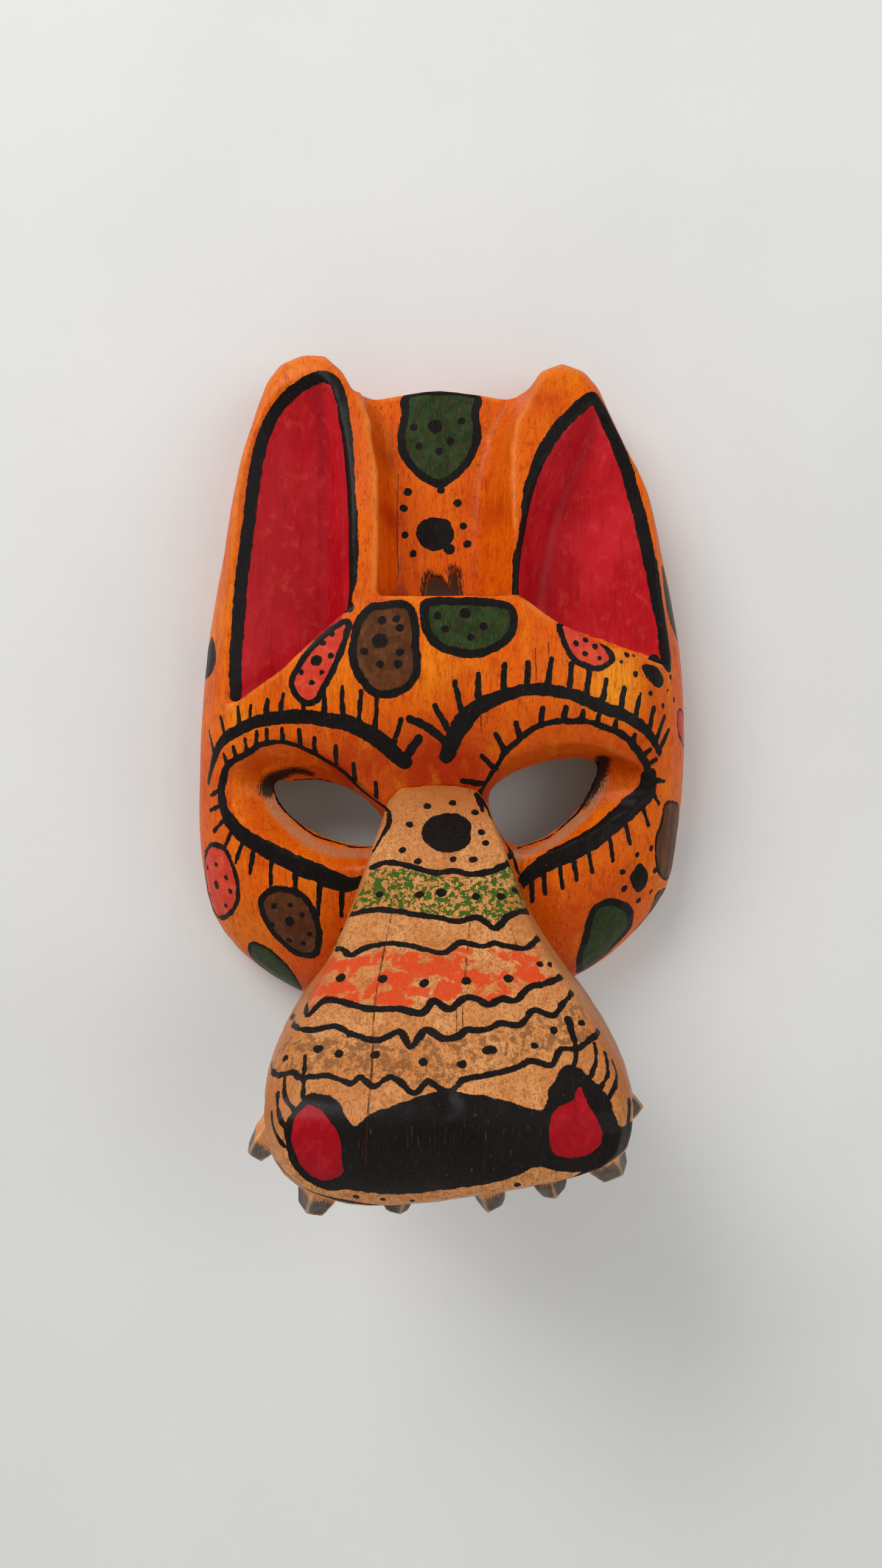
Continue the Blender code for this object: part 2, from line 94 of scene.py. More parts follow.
LEFT_EAR_LINE = [
    (-72.5, 31), (-72.5, 43), (-71.5, 60), (-70, 76), (-68, 92), (-66, 108), (-63.5, 121), (-59, 131),
    (-53.5, 137.5), (-47.5, 141.5), (-41.5, 143), (-37.5, 141), (-35, 135), (-33.5, 126), (-32.5, 115),
    (-31.5, 100), (-30.5, 85), (-30.5, 72), (-31.5, 60),
]
RIGHT_EAR_LINE = [
    (25.5, 66), (26.5, 77), (28.5, 90), (31, 103), (34.5, 113), (39, 121.5), (44.5, 128), (49.5, 133),
    (54, 136), (57, 132), (60, 126), (64, 117), (67, 108), (70, 97), (72.5, 86), (75, 74), (77.5, 62),
    (79.5, 51), (80.5, 42),
]
LEFT_EAR_BASE = [(-34, 56), (-45.5, 47), (-59.5, 36), (-70, 29.5)]
RIGHT_EAR_BASE = [(75, 45), (60.5, 50.5), (44.5, 56.5), (34, 62.5), (27, 64.5)]

# Bold strokes: full width along the stroke, then its points
STROKES = [
    ((4.4, 4.8, 4.6, 4.2, 4.6, 4.4), LEFT_EAR_LINE), ((3.6, 4.4, 4.8, 4.6, 4.6, 4.8), RIGHT_EAR_LINE),
    ((4.0, 2.6), [(75.5, 44), (80.5, 41)]),
    # left brow, and the fork that meets the other one
    ((2.6, 3.8, 4.2, 4.6, 4.9, 5.6, 6.2, 5.4), [
        (-83.5, 1), (-81, 8.5), (-77, 15), (-72, 18), (-65, 21), (-57.5, 22.5), (-48.5, 23), (-39.5, 22),
        (-31.5, 20.5), (-25, 17.5), (-20, 14), (-16, 10.5), (-12.5, 7.5)]),
    ((3.6, 3.0), [(-12.5, 8.5), (-7.5, 15.5)]),
    # right brow
    ((5.2, 6.6, 5.2, 4.2, 4.2, 4.4, 4.4, 4.0, 2.4), [
        (2, 9.5), (4, 15), (7.5, 21), (12, 25.5), (17.5, 28.5), (23, 30.5), (30.5, 32), (38.5, 31.5),
        (46, 30), (53, 27), (60.5, 24.5), (67, 21.5), (72.5, 17.5), (77, 11)]),
    ((3.0, 2.8), [(1.5, 14), (-2, 17.5), (-5, 19.5), (-10.5, 22)]),
    # upper lids
    ((3.4, 2.2, 2.2, 2.2, 2.4, 3.0, 3.4, 1.6, 1.0), [
        (-77.5, 0.5), (-76, 5.5), (-73, 8), (-67.5, 10.5), (-62.5, 13.5), (-55, 14.5), (-49, 13), (-43, 10),
        (-37, 6.5), (-32.5, 3), (-28.5, -1.5), (-24, -5), (-20.5, -7.5), (-17.5, -9.5), (-17, -13),
        (-19, -17)]),
    ((2.2, 2.0, 2.2, 2.2, 2.2, 2.6, 3.4), [
        (13.5, -3), (16, 1), (19, 6), (22, 11), (26.5, 15), (31.5, 19), (37.5, 21), (45.5, 21.5),
        (51.5, 21), (57.5, 19), (63.5, 16.5), (67, 13), (70.5, 9), (72.5, 6)]),
    # lower lids
    ((3.4, 4.6, 5.6, 6.0, 6.2, 6.6, 6.6, 4.0), [
        (-77.5, 1.5), (-78, -3), (-77, -9), (-73.5, -14.5), (-68.5, -19), (-62, -22.5), (-56, -25.5),
        (-49.5, -28.5), (-43.5, -31), (-37.5, -33.5), (-32.5, -35), (-27.5, -34)]),
    ((5.0, 7.4, 7.8, 7.6, 7.6, 7.2, 6.4, 5.0), [
        (73.5, 3.5), (72.5, -2.5), (67, -7.5), (60.5, -13), (54.5, -18), (47, -22.5), (39.5, -26),
        (33.5, -29.5), (29.5, -33)]),
    # along the muzzle's edges
    ((1.2, 1.0, 0.8), [(14, -4.5), (18.5, -14.5), (24, -23), (29, -36.5)]),
    ((1.8, 1.2, 0.8, 0.8), [
        (-17.5, -9.5), (-17.5, -13), (-20, -18), (-23.5, -24.5), (-26, -32), (-29.5, -40.5)]),
    ((2.6, 1.4), [(12.5, -3.5), (14, -9)]),
    # thin lines where the eye holes are cut
    ((1.2, 0.8, 1.0), [
        (-60.4, -2), (-56.3, -9.4), (-46.3, -17.6), (-37.5, -20.8), (-30, -22.6), (-22, -22)]),
    ((0.9, 0.9, 1.6), [(27, -22.8), (34, -20.7), (40.4, -17.6), (49.6, -9.3), (54.7, 0), (55.8, 7.5)]),
    ((0.9, 0.7), [(-52, 1.5), (-42, 1.5), (-32, -2)]),
    # lines across the muzzle
    ((2.2, 2.6, 2.4), [
        (-22.5, -27), (-17.5, -25.5), (-12.5, -26), (-7, -27.5), (-1.5, -28.5), (4, -28), (10, -29),
        (16.5, -28), (20, -26.5), (23.5, -25.5)]),
    ((2.2, 2.2, 2.4), [
        (-28.5, -41), (-22, -39.5), (-16, -39.5), (-8.5, -40.5), (-1, -41.5), (5, -42.5), (11.5, -41.5),
        (16.5, -44.5), (20.5, -41.5), (24.5, -40), (28, -40.5)]),
    ((2.0, 2.0, 2.2), [
        (-34.5, -51.5), (-30.5, -50.5), (-27.5, -52), (-23, -50), (-15.5, -48.5), (-8, -49.5), (0.5, -51),
        (6, -48.5), (12.5, -49.5), (16.5, -48.5), (20, -49.5), (26, -50), (30, -47.5)]),
    ((2.0, 2.4, 2.2), [
        (-40.5, -65), (-39, -67.5), (-34.5, -64), (-29.5, -64), (-20.5, -65.5), (-12, -65.5), (-5.5, -66.5),
        (-2, -63.5), (2.5, -65.5), (6.5, -63), (10.5, -63), (14, -64.5), (18, -63), (22, -63.5),
        (26, -60.5), (31, -59.5), (36, -58)]),
    ((1.9, 2.2, 1.8), [
        (-47, -72.5), (-44, -71), (-36.5, -71), (-30.5, -70), (-25, -72), (-17.5, -73), (-12, -71),
        (-8.5, -74.5), (-4.5, -70.5), (0.5, -72.5), (5, -72), (7.5, -70.5), (13, -70.5), (17.5, -69),
        (23, -69.5), (27, -66), (32.5, -67.5), (35.5, -65), (39, -62)]),
    ((1.8, 1.9, 1.8), [
        (-50, -82.5), (-46, -82), (-41.5, -81), (-39, -82), (-31.5, -81.5), (-25, -83), (-22.5, -81.5),
        (-18.5, -83.5), (-13.5, -81.5), (-7.5, -85), (-3.5, -82.5), (1.5, -85), (4.5, -83.5), (6, -82),
        (13, -81), (21, -79.5), (25.5, -78), (31, -79), (34, -75.5), (39, -75.5), (43, -73.5), (46, -72)]),
    # whiskers
    ((1.0, 1.5), [(-38.5, -77), (-38.5, -81), (-38, -86.5)]),
    ((1.1, 1.6), [(-44, -82), (-43, -86.5), (-40, -90)]),
    ((1.1, 1.6), [(-45.5, -86), (-44.5, -91), (-41.5, -95.5)]),
    ((1.1, 1.6), [(-47, -91), (-46, -95), (-43, -99)]),
    ((2.4, 1.3, 1.5), [(37, -68.5), (38, -72.5), (38.5, -76.5), (37, -80.5)]),
    ((1.1, 1.5), [(44, -74.5), (44, -78), (42, -82)]),
    ((1.1, 1.5), [(47, -77), (47, -81.5), (44.5, -84.5)]),
    ((1.1, 1.6), [(49, -79), (49.5, -83), (46, -87.5)]),
    # along the lip
    ((0.9, 1.4, 1.6, 1.4, 2.4, 3.4, 2.2), [
        (-51, -95), (-47, -105), (-35, -114), (-17, -118.5), (0, -119), (16, -116.5), (29, -112),
        (39, -107.5), (47, -102.5), (51.5, -96), (53, -89)]),
]

# Lashes: width, then pairs of root and tip
LASHES = [
    (1.7, [
        ((-81, 12), (-83, 19)), ((-76, 18), (-77.5, 23.5)), ((-70, 20), (-70.5, 27)),
        ((-66, 21.5), (-65.5, 27)), ((-60.5, 23), (-59.5, 29)), ((-55, 23.5), (-54, 30.5)),
        ((-47, 24), (-47, 28)), ((-39.5, 23), (-39.5, 32)), ((-33.5, 22), (-33.5, 33)),
        ((-28, 20), (-27, 31.5)), ((-22.5, 17), (-21.5, 31)), ((-16.5, 12), (-13.5, 22)),
        ((-75.5, 7), (-76.5, 10.5)), ((-71.5, 9), (-72.5, 13)), ((-67.5, 11), (-68, 15.5)),
        ((-64, 13), (-63.5, 18)), ((-60, 14), (-60, 18.5)), ((-54.5, 14.5), (-54.5, 19)),
        ((-48.5, 13), (-48.5, 18.5)), ((-43.5, 10.5), (-43.5, 15.5)), ((-36, 7), (-36, 13)),
        ((-30, 1.5), (-30, 7)), ((-22.5, -4.5), (-22.5, 0.5)), ((-78, -2), (-82.5, -4)),
        ((-78, -7.5), (-83, -9.5)), ((-77, -12.5), (-81.5, -17)), ((-74, -16.5), (-77.5, -23.5)),
        ((-70, -20.5), (-73, -28)), ((-66, -23), (-67.5, -31.5)), ((-59.5, -27), (-60, -35.5)),
        ((-51, -31.5), (-51, -38)), ((-42.5, -35), (-43, -45.5)), ((-34.5, -36), (-35, -46.5))]),
    (2.1, [
        ((3, 17), (-2, 26.5)), ((7.5, 23), (4.5, 34.5)), ((12.5, 26.5), (12.5, 37)),
        ((21, 30.5), (21.5, 40.5)), ((29, 32.5), (29.5, 41)), ((36, 32.5), (37.5, 42.5)),
        ((43.5, 31), (44.5, 41)), ((49.5, 29), (50.5, 38.5)), ((55, 27.5), (56.5, 35.5)),
        ((61.5, 24.5), (63, 33)), ((67, 22.5), (68.5, 30)), ((72.5, 19), (74, 26.5)),
        ((75.5, 15.5), (78.5, 23.5)), ((77, 12.5), (80.5, 19)), ((14.5, 0), (7.5, 1)), ((19, 5), (14, 9.5)),
        ((22, 11), (18.5, 17)), ((27, 15.5), (25.5, 20.5)), ((34, 20), (34.5, 25.5)),
        ((41.5, 21.5), (42.5, 26)), ((48, 21.5), (48.5, 25)), ((53.5, 20.5), (54, 23.5)),
        ((59.5, 18.5), (60, 21.5)), ((66, 14), (67, 17)), ((70.5, 10), (73, 12)), ((73, 7), (75.5, 8.5))]),
    (1.7, [
        ((75, 1.5), (79.5, 1)), ((74.5, -3), (77.5, -7)), ((70.5, -7), (73.5, -14.5)),
        ((64.5, -12.5), (66.5, -21)), ((59, -18), (60.5, -27)), ((51.5, -23.5), (53, -31)),
        ((46.5, -27), (47.5, -33.5)), ((41.5, -29.5), (42.5, -36.5)), ((36, -32), (36.5, -38.5)),
        ((31.5, -33), (32, -41))]),
]

# Spots: colour, outline width (0 for none), outline points
SPOTS = [
    ("green", 3.0, [
        (-11, 142), (-13, 133.5), (-14.5, 126), (-13, 118.5), (-7.5, 112), (-0.5, 108.5), (6.5, 113),
        (11, 119.5), (13, 126.5), (12.5, 134.5), (11.5, 142)]),
    ("ink", 0, [
        (-7.5, 94.5), (-2.5, 96), (2.5, 95), (4.5, 90.5), (3, 86), (-0.5, 84.5), (-3, 83.5), (-7, 86),
        (-9, 90)]),
    ("brown", 2.8, [
        (-21.5, 60.5), (-13, 61), (-9.5, 57.5), (-8.5, 47), (-8.5, 37), (-13.5, 31.5), (-21, 30.5),
        (-27, 35.5), (-30, 44), (-28.5, 53.5), (-25.5, 58.5)]),
    ("green", 3.0, [
        (-4.5, 61.5), (6.5, 62), (18.5, 61.5), (24, 59), (24, 51.5), (18.5, 46.5), (11.5, 44), (2, 45.5),
        (-3.5, 49.5), (-5.5, 55.5)]),
    ("pink", 2.2, [
        (-31.5, 55), (-36, 53.5), (-42.5, 48), (-48, 41), (-51, 34), (-47, 28), (-42.5, 28.5), (-38, 36),
        (-33.5, 46)]),
    ("pink", 2.2, [
        (40.5, 54), (42.5, 47), (46.5, 41.5), (53.5, 39.5), (58.5, 42.5), (56.5, 46.5), (51.5, 51),
        (45, 54)]),
    ("ink", 0, [(69.5, 41), (75, 41), (78.5, 37), (76.5, 34), (72.5, 35.5)]),
    ("pink", 2.0, [
        (-83, -22), (-77.5, -23), (-74.5, -28), (-72.5, -35.5), (-73, -42), (-77, -47.5), (-82.5, -49),
        (-86, -42.5), (-87, -34), (-86.5, -27)]),
    ("brown", 2.4, [
        (-60, -37.5), (-54, -37), (-48, -39.5), (-44.5, -45.5), (-43, -53.5), (-44.5, -60), (-49.5, -61),
        (-55, -58), (-60, -52.5), (-63, -46), (-63.5, -41)]),
    ("green", 1.6, [
        (-69, -58), (-63.5, -59), (-57.5, -64), (-53, -70.5), (-52, -76), (-56, -75.5), (-64.5, -70),
        (-70, -64)]),
    ("ink", 0, [(70.5, -28), (74, -32), (73.5, -36.5), (70.5, -39), (67, -34), (68, -31)]),
    ("green", 3.0, [
        (58.5, -42), (63, -42.5), (68, -46), (68.5, -52.5), (65, -57.5), (59, -64.5), (51.5, -69),
        (50, -62), (51.5, -56), (52.5, -48.5), (54.5, -44)]),
    ("brown", 1.2, [
        (80, -7.5), (83, -6.5), (87, -8.5), (88.5, -19), (87, -31.5), (84, -35), (79.5, -33), (77, -26.5),
        (77, -19), (78.5, -15), (79.5, -10.5)]),
    ("brown", 1.0, [(79, -40), (84, -39.5), (81, -46), (76, -51.5), (72.5, -54), (77, -48)]),
    ("pink", 1.2, [(86, 27), (90, 24), (90.5, 19), (89.5, 14), (86, 17.5), (85, 23)]),
    ("ink", 0, [(-85.5, 51.5), (-82.5, 53), (-80, 46), (-82, 39.5), (-87, 39), (-87.5, 45)]),
    ("green", 1.2, [(79.5, 78), (84, 71), (87, 59), (88, 53), (84, 56), (81, 64.5)]),
    ("ink", 0, [
        (-4.5, -12), (0.5, -10), (5.5, -10), (9.5, -12.5), (10, -16.5), (8, -20.5), (1.5, -22.5),
        (-3.5, -20.5), (-6.5, -17)]),
]

# Dots: how far each one reaches from its middle, then the middles
DOTS = [
    (1.4, [
        (-10, 129.5), (7.5, 132), (-8, 122.5), (-0.5, 120.5), (3.5, 124.5), (-12, 105.5), (0, 106),
        (6, 101.5), (-13.5, 99.5), (8, 93), (-13, 89.5), (9.5, 86.5), (-10, 83), (-20, 55.5), (-15, 56),
        (-14, 53), (-26, 45), (-14, 44.5), (-20.5, 40.5), (-14.5, 40.5), (-1, 57), (1.5, 52.5),
        (14.5, 53.5), (10, 49.5)]),
    (2.6, [(-2, 130), (-20.5, 48.5)]),
    (1.9, [(8, 58), (3, 84.5), (-42.5, 42)]),
    (1.0, [
        (-37, 51), (-40, 48), (-47, 43), (-37.5, 43.5), (-47.5, 38), (-40.5, 38), (-44, 34.5), (46, 48),
        (49.5, 49), (49, 44.5), (52.5, 47), (54, 43), (64, 44.5), (67, 38), (73, 31.5), (81.5, 38),
        (78, 27.5), (83, 30)]),
    (0.7, [(66.5, 44.5), (62, 42), (69, 31), (80, 33)]),
    (1.1, [
        (-85.5, -30.5), (-81, -29), (-77, -33.5), (-85, -41), (-78, -44), (-75.5, -38.5), (-59, -43),
        (-53, -42.5), (-49, -46), (-60, -50), (-46.5, -53), (-54, -55.5), (-49, -56.5)]),
    (1.7, [(-81.5, -36.5), (-53.5, -48.5)]),
    (1.1, [(69.5, -25), (75, -23), (64, -31), (77, -31), (65, -37), (76, -39), (71, -42)]),
    (1.3, [
        (-4.5, -7.5), (4, -6.5), (11.5, -9.5), (-10.5, -13.5), (13.5, -16), (14.5, -19.5), (-12.5, -21.5),
        (4, -24.5), (10.5, -24.5), (-7.5, -25)]),
    (1.4, [(-19.5, -35), (-7, -35), (11, -35.5), (19, -35.5), (24, -34)]),
    (1.7, [(0, -34.5)]),
    (1.5, [(-30, -58), (-17.5, -58), (-5, -59), (7.5, -58.5), (20, -58)]),
    (1.1, [(30, -54.5), (33, -54.5), (-44.5, -78), (26.5, -74.5), (41, -69.5)]),
    (1.4, [
        (-35, -75.5), (-29, -76.5), (-18.5, -76.5), (-5, -78), (6, -78.5), (13, -75.5), (14.5, -75.2),
        (32.5, -71)]),
    (1.0, [
        (-23.5, -114.8), (-16, -115.6), (-8, -116), (1.5, -115.6), (6.5, -114.6), (14.5, -112.6),
        (21, -110)]),
]

NOSE = [
    (-40, -89), (-37, -85.7), (-32, -85.7), (-27.5, -87.7), (-25.4, -91), (-23.4, -93), (-18.8, -89.7),
    (-10.8, -87), (-2, -85), (6, -84.7), (16, -86.3), (27.3, -89), (30, -84.3), (34.6, -79.7),
    (38.6, -79.7), (42.6, -83), (46.6, -87), (49, -93.7), (54, -95), (53, -100), (48, -104.5), (38, -106.5),
    (31.5, -105.7), (26, -104.3), (20.6, -107), (12.6, -109.7), (4.6, -111), (-7.5, -113), (-17, -113.3),
    (-26, -112), (-29.5, -113), (-34, -111.5), (-38, -108.5), (-41, -104.3), (-42.5, -99), (-43, -93.7),
]
NOSTRILS = [
    [(-39, -90), (-35, -88.3), (-30.5, -91.5), (-27.4, -97), (-26.8, -104), (-27.5, -107), (-32.8, -109),
     (-37.4, -105.7), (-40, -101), (-41, -95.7)],
    [(30.6, -89.7), (35.9, -87), (38.6, -84.3), (40, -87), (42.6, -91.7), (44.3, -95.7), (42, -100.3),
     (35.3, -102), (30.6, -100.3), (29.3, -95)],
]
GREEN_BAND = [
    (-22.5, -27.5), (-12.5, -27), (-1.5, -29.5), (10, -30), (20, -27.5), (24, -27), (28, -40), (20.5, -41),
    (16.5, -43), (5, -41.5), (-8.5, -39.5), (-22, -38.5), (-28.5, -40),
]
RED_BAND = [
    (-33.5, -53), (-27.5, -53), (-15.5, -50.5), (0.5, -51.5), (6, -49.5), (20, -50.5), (28.5, -49.5),
    (34, -58), (26, -60), (14, -64), (6.5, -63), (-2, -64), (-12, -65), (-29.5, -63.5), (-39, -66),
    (-40, -63),
]
BROWN_BAND = [
    (-46.5, -73.5), (-30.5, -71), (-17.5, -74), (-8.5, -75.5), (-4.5, -71.5), (5, -73), (17.5, -70),
    (27, -67), (36, -66), (41, -63), (44, -73), (34, -75), (25.5, -77.5), (13, -80.5), (4.5, -83),
    (-7.5, -84), (-22.5, -81), (-39, -81.5), (-49, -82),
]
EAR_RED = [LEFT_EAR_LINE + LEFT_EAR_BASE, RIGHT_EAR_LINE + RIGHT_EAR_BASE]

# Bare, worn wood beside the eye holes, and scorched or ragged wood: width, then points
WORN = [
    (4.6, [(-61, -5), (-57.5, -11.5), (-47.5, -20), (-37, -24), (-25, -24.5)]),
    (4.8, [(57.5, 2), (52.8, -8.5), (42.8, -18), (34, -23), (27, -24.5)]),
]
SCORCHED = [
    ((6.0, 5.0, 3.6, 2.4), [(-62, -1.5), (-60.5, 1.5), (-56, 3.6), (-50.5, 4.8), (-46, 3.6)]),
    ((5.2, 4.4, 3.2, 1.4), [(57.2, 9), (56.6, 3.5), (54, -3), (51, -8)]),
    (1.2, [
        (-6.4, 67), (-6, 72.5), (-5, 75.5), (-3.3, 76), (-2.5, 74.3), (-0.6, 74.8), (1.4, 72.8), (2.9, 71),
        (3.1, 73.5), (3.2, 77.2), (4.8, 78), (6.4, 75.8), (6.9, 71), (7.3, 67)]),
]
CRACKS = [
    (0.3, [
        (-15.5, -41), (-17.5, -52), (-19, -61.5), (-19.5, -70.5), (-19.3, -79), (-20, -92), (-20.5, -104)]),
    (0.2, [(9, -43), (7.8, -52), (7.2, -58)]),
    (0.15, [(7, -62.5), (6.3, -66), (6.4, -70)]),
    (0.12, [(4.6, -64), (4.4, -71)]),
    (0.15, [(21.5, -44.5), (23.5, -50)]),
    (0.15, [(11.5, -88), (12, -99), (11.4, -106)]),
    (0.15, [(36.5, -81), (37, -90), (36.4, -99)]),
    (0.15, [(13.2, 28), (13.8, 17.5)]),
    (0.1, [(32, 46), (32.4, 35)]),
    (0.1, [(36.5, 48), (36.8, 38)]),
    (0.1, [(-3, 103), (-2.6, 97)]),
    (0.1, [(-15.5, 112), (-15.8, 92), (-15.2, 74)]),
    (0.1, [(5, 105), (5.4, 92)]),
    (0.1, [(16, 110), (16.6, 96)]),
    (0.1, [(10, -3), (9.2, 2), (7.5, 5)]),
    (0.1, [(-26, 20), (-24, 12)]),
]
# Deeper stain and painted shade, the shade between the brows, in the eye sockets and beside the muzzle:
# middle, reach, strength
STAIN_AND_PAINTED_SHADE = [
    ((-2, 5), 20, 0.9), ((-24, 4), 14, 0.6), ((10, 2), 14, 0.6), ((-40, 4), 16, 0.5), ((46, 14), 18, 0.35),
    ((-18, 95), 6, 0.7), ((-20, 118), 6, 0.5), ((19, 95), 6, 0.6), ((-88, 0), 14, 0.3),
    ((62, -40), 14, 0.4), ((-38, -55), 16, 0.5), ((40, -52), 14, 0.4), ((-45, 60), 10, 0.3),
    ((-20, -12), 6, 0.6), ((16, -8), 6, 0.5), ((-50, -90), 13, 0.8), ((54, -84), 13, 0.9),
    ((-28, -32), 8, 0.5), ((28, -40), 8, 0.5), ((48, -70), 10, 0.7), ((-46, -72), 9, 0.6),
    ((-64, 6), 9, 0.5), ((66, 6), 9, 0.4), ((-60, -14), 8, 0.4), ((60, 12), 8, 0.4),
]
# Thinner stain and painted highlight, the highlight on the brows above the eyes: middle, reach, strength
THIN_STAIN_AND_PAINTED_HIGHLIGHT = [
    ((-40, 40), 14, 0.5), ((60, 36), 14, 0.8), ((0, 40), 16, 0.4), ((-70, 22), 10, 0.4),
    ((-74, -55), 14, 0.3), ((60, 30), 10, 0.4), ((-80, 60), 18, 0.3), ((-52, 148), 10, 0.3),
    ((46, 148), 10, 0.3),
]


# ---------------------------------------------------------------------------------------------------------
# What a user would change
# ---------------------------------------------------------------------------------------------------------

def length(name, description, default):
    return FloatProperty(name=name, description=description, default=default, unit="LENGTH", precision=5)


def power(name, description, default):
    return FloatProperty(name=name, description=description, default=default, unit="POWER")


def paint(name, description, default):
    return FloatVectorProperty(
        name=name, description=description, default=default, subtype="COLOR", size=3, min=0, max=1
    )


class CarvingSettings(bpy.types.PropertyGroup):
    """Sizes of the knife work."""

    face_division: length("Face division", "Size of the face's and ears' squares before painting", 0.001)
    muzzle_division: length("Muzzle division", "Size of the muzzle's mesh squares before painting", 0.0009)
    tooth_division: length("Tooth division", "Size of a tooth's mesh squares", 0.0005)
    smoothing: IntProperty(
        name="Smoothing", description="Passes that fair the carved faces", default=80, min=0
    )
    tooth_smoothing: IntProperty(
        name="Tooth smoothing", description="Passes that fair a tooth", default=30, min=0
    )
    soft_edge: length("Soft edge", "Distance from an edge over which the fairing fades in", 0.005)
    tooth_edge: length("Tooth edge", "Distance from a tooth's edge over which its fairing fades in", 0.0022)
    knife_depth: length("Knife depth", "Height of the low waves the knife leaves", 0.00022)
    tooth_knife: length("Tooth knife depth", "Height of the knife waves on a tooth", 0.0001)


class PaintSettings(bpy.types.PropertyGroup):
    """Colours of the stain and the paints."""

    stain: paint("Stain", "Orange stain on the face and ears", (0.72, 0.115, 0.002))
    # colour of the deeper stain, also laid as painted shade where the deep marks lie
    deep_stain_and_shade: paint("Deep stain", "Stain where it lies thick", (0.42, 0.027, 0.001))
    # colour of the thinner stain, also laid as painted highlight where the pale marks lie
    pale_stain_and_highlight: paint("Pale stain", "Stain where it is thin", (0.90, 0.29, 0.006))
    bare_wood: paint("Bare wood", "Light wood of the muzzle", (0.70, 0.31, 0.105))
    bare_fleck: paint("Wood fleck", "Pores and flecks of the bare wood", (0.30, 0.100, 0.028))
    raw_wood: paint("Raw wood", "Unfinished wood of the hollow back", (0.50, 0.30, 0.16))
    black: paint("Black", "Black paint", (0.0055, 0.0040, 0.0036))
    ear_red: paint("Ear red", "Red inside the ears", (0.42, 0.003, 0.009))
    ear_rose: paint("Ear rose", "Red where it is rubbed thin", (0.54, 0.012, 0.022))
    nostril_red: paint("Nostril red", "Red of the nostrils", (0.31, 0.002, 0.007))
    pink: paint("Spot red", "Red of the small spots", (0.56, 0.035, 0.018))
    green: paint("Spot green", "Dark green of the spots", (0.011, 0.030, 0.008))
    brown: paint("Spot brown", "Brown of the spots", (0.070, 0.023, 0.007))
    band_green: paint("Band green", "Green dabs across the muzzle", (0.019, 0.092, 0.006))
    band_red: paint("Band red", "Orange-red dabs across the muzzle", (0.66, 0.040, 0.005))
    band_brown: paint("Band brown", "Brown dabs across the muzzle", (0.200, 0.078, 0.026))


class StageSettings(bpy.types.PropertyGroup):
    """The wall, the floor and the light."""

    wall: paint("Wall", "Colour of the wall and floor", (0.73, 0.725, 0.70))
    wall_width: length("Wall width", "Width of the wall", 5.0)
    floor_drop: length("Floor drop", "How far the floor lies below the slot", 0.75)
    key_power: power("Key light", "Power of the upper left light", 17.0)
    fill_power: power("Fill light", "Power of the right light", 6.5)
    rear_power: power("Rear light", "Power of the light behind the wall", 2.5)
    sky: FloatProperty(name="Room light", description="Strength of the light from all round", default=0.44)


# ---------------------------------------------------------------------------------------------------------
# Carving
# ---------------------------------------------------------------------------------------------------------

def link(obj):
    bpy.context.scene.collection.objects.link(obj)
    return obj


def ease(low, high, value):
    share = np.clip((value - low) / (high - low), 0, 1)
    return share * share * (3 - 2 * share)


def welded(node):
    """The CAD node's mesh with its corners joined, as a bmesh."""
    bm = bmesh.new()
    bm.from_mesh(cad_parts[node].data)
    bmesh.ops.remove_doubles(bm, verts=bm.verts, dist=1e-5)
    return bm


def edge_points(bm, step=0.0008):
    """Points along each edge that stays crisp."""
    found = []
    for edge in bm.edges:
        if len(edge.link_faces) != 2 or edge.calc_face_angle(0) < KEEP_ANGLE:
            continue
        a, b = edge.verts[0].co, edge.verts[1].co
        count = max(1, int((b - a).length / step))
        found += [a.lerp(b, (i + 0.5) / count) for i in range(count)]
    return found


def across(trees, place):
    """The other side of the glue gap at a place, or None away from any joint."""
    for tree in trees:
        hit = tree.find_nearest(place, GLUE_REACH)[0]
        if hit is not None:
            return hit
    return None


def glued(nodes):
    """The nodes' surfaces in one bmesh with the glue gaps closed, its crisp edges, and each node's tree."""
    parts = [welded(node) for node in nodes]
    trees = [BVHTree.FromBMesh(part) for part in parts]
    whole, crisp = bmesh.new(), []
    rough = bpy.data.meshes.new("glued part")
    for part, own in zip(parts, trees):
        others = [tree for tree in trees if tree is not own]
        crisp += [p for p in edge_points(part) if across(others, p) is None]
        for vertex in part.verts:
            far_side = across(others, vertex.co)
            if far_side is not None:
                vertex.co += GLUE_OVERLAP * (far_side - vertex.co)
        part.to_mesh(rough)
        whole.from_mesh(rough)
        part.free()
    bpy.data.meshes.remove(rough)
    return whole, crisp, trees


def fine_mesh(bm, name, division):
    """An even mesh of small squares over the bmesh's surface."""
    rough = bpy.data.meshes.new(name)
    bm.to_mesh(rough)
    obj = link(bpy.data.objects.new(name, rough))
    remesh = obj.modifiers.new("even squares", "REMESH")
    remesh.mode = "VOXEL"
    remesh.voxel_size = division
    made = bpy.data.meshes.new_from_object(obj.evaluated_get(bpy.context.evaluated_depsgraph_get()))
    bpy.data.objects.remove(obj)
    bpy.data.meshes.remove(rough)
    return made


def coordinates(mesh):
    flat = np.empty(len(mesh.vertices) * 3)
    mesh.vertices.foreach_get("co", flat)
    return flat.reshape(-1, 3)


def normals(mesh):
    flat = np.empty(len(mesh.vertices) * 3, np.float32)
    mesh.vertex_normals.foreach_get("vector", flat)
    return flat.reshape(-1, 3).astype(float)


def corners(mesh):
    """The vertex numbers of all face corners."""
    flat = np.empty(len(mesh.loops), np.int32)
    mesh.loops.foreach_get("vertex_index", flat)
    return flat


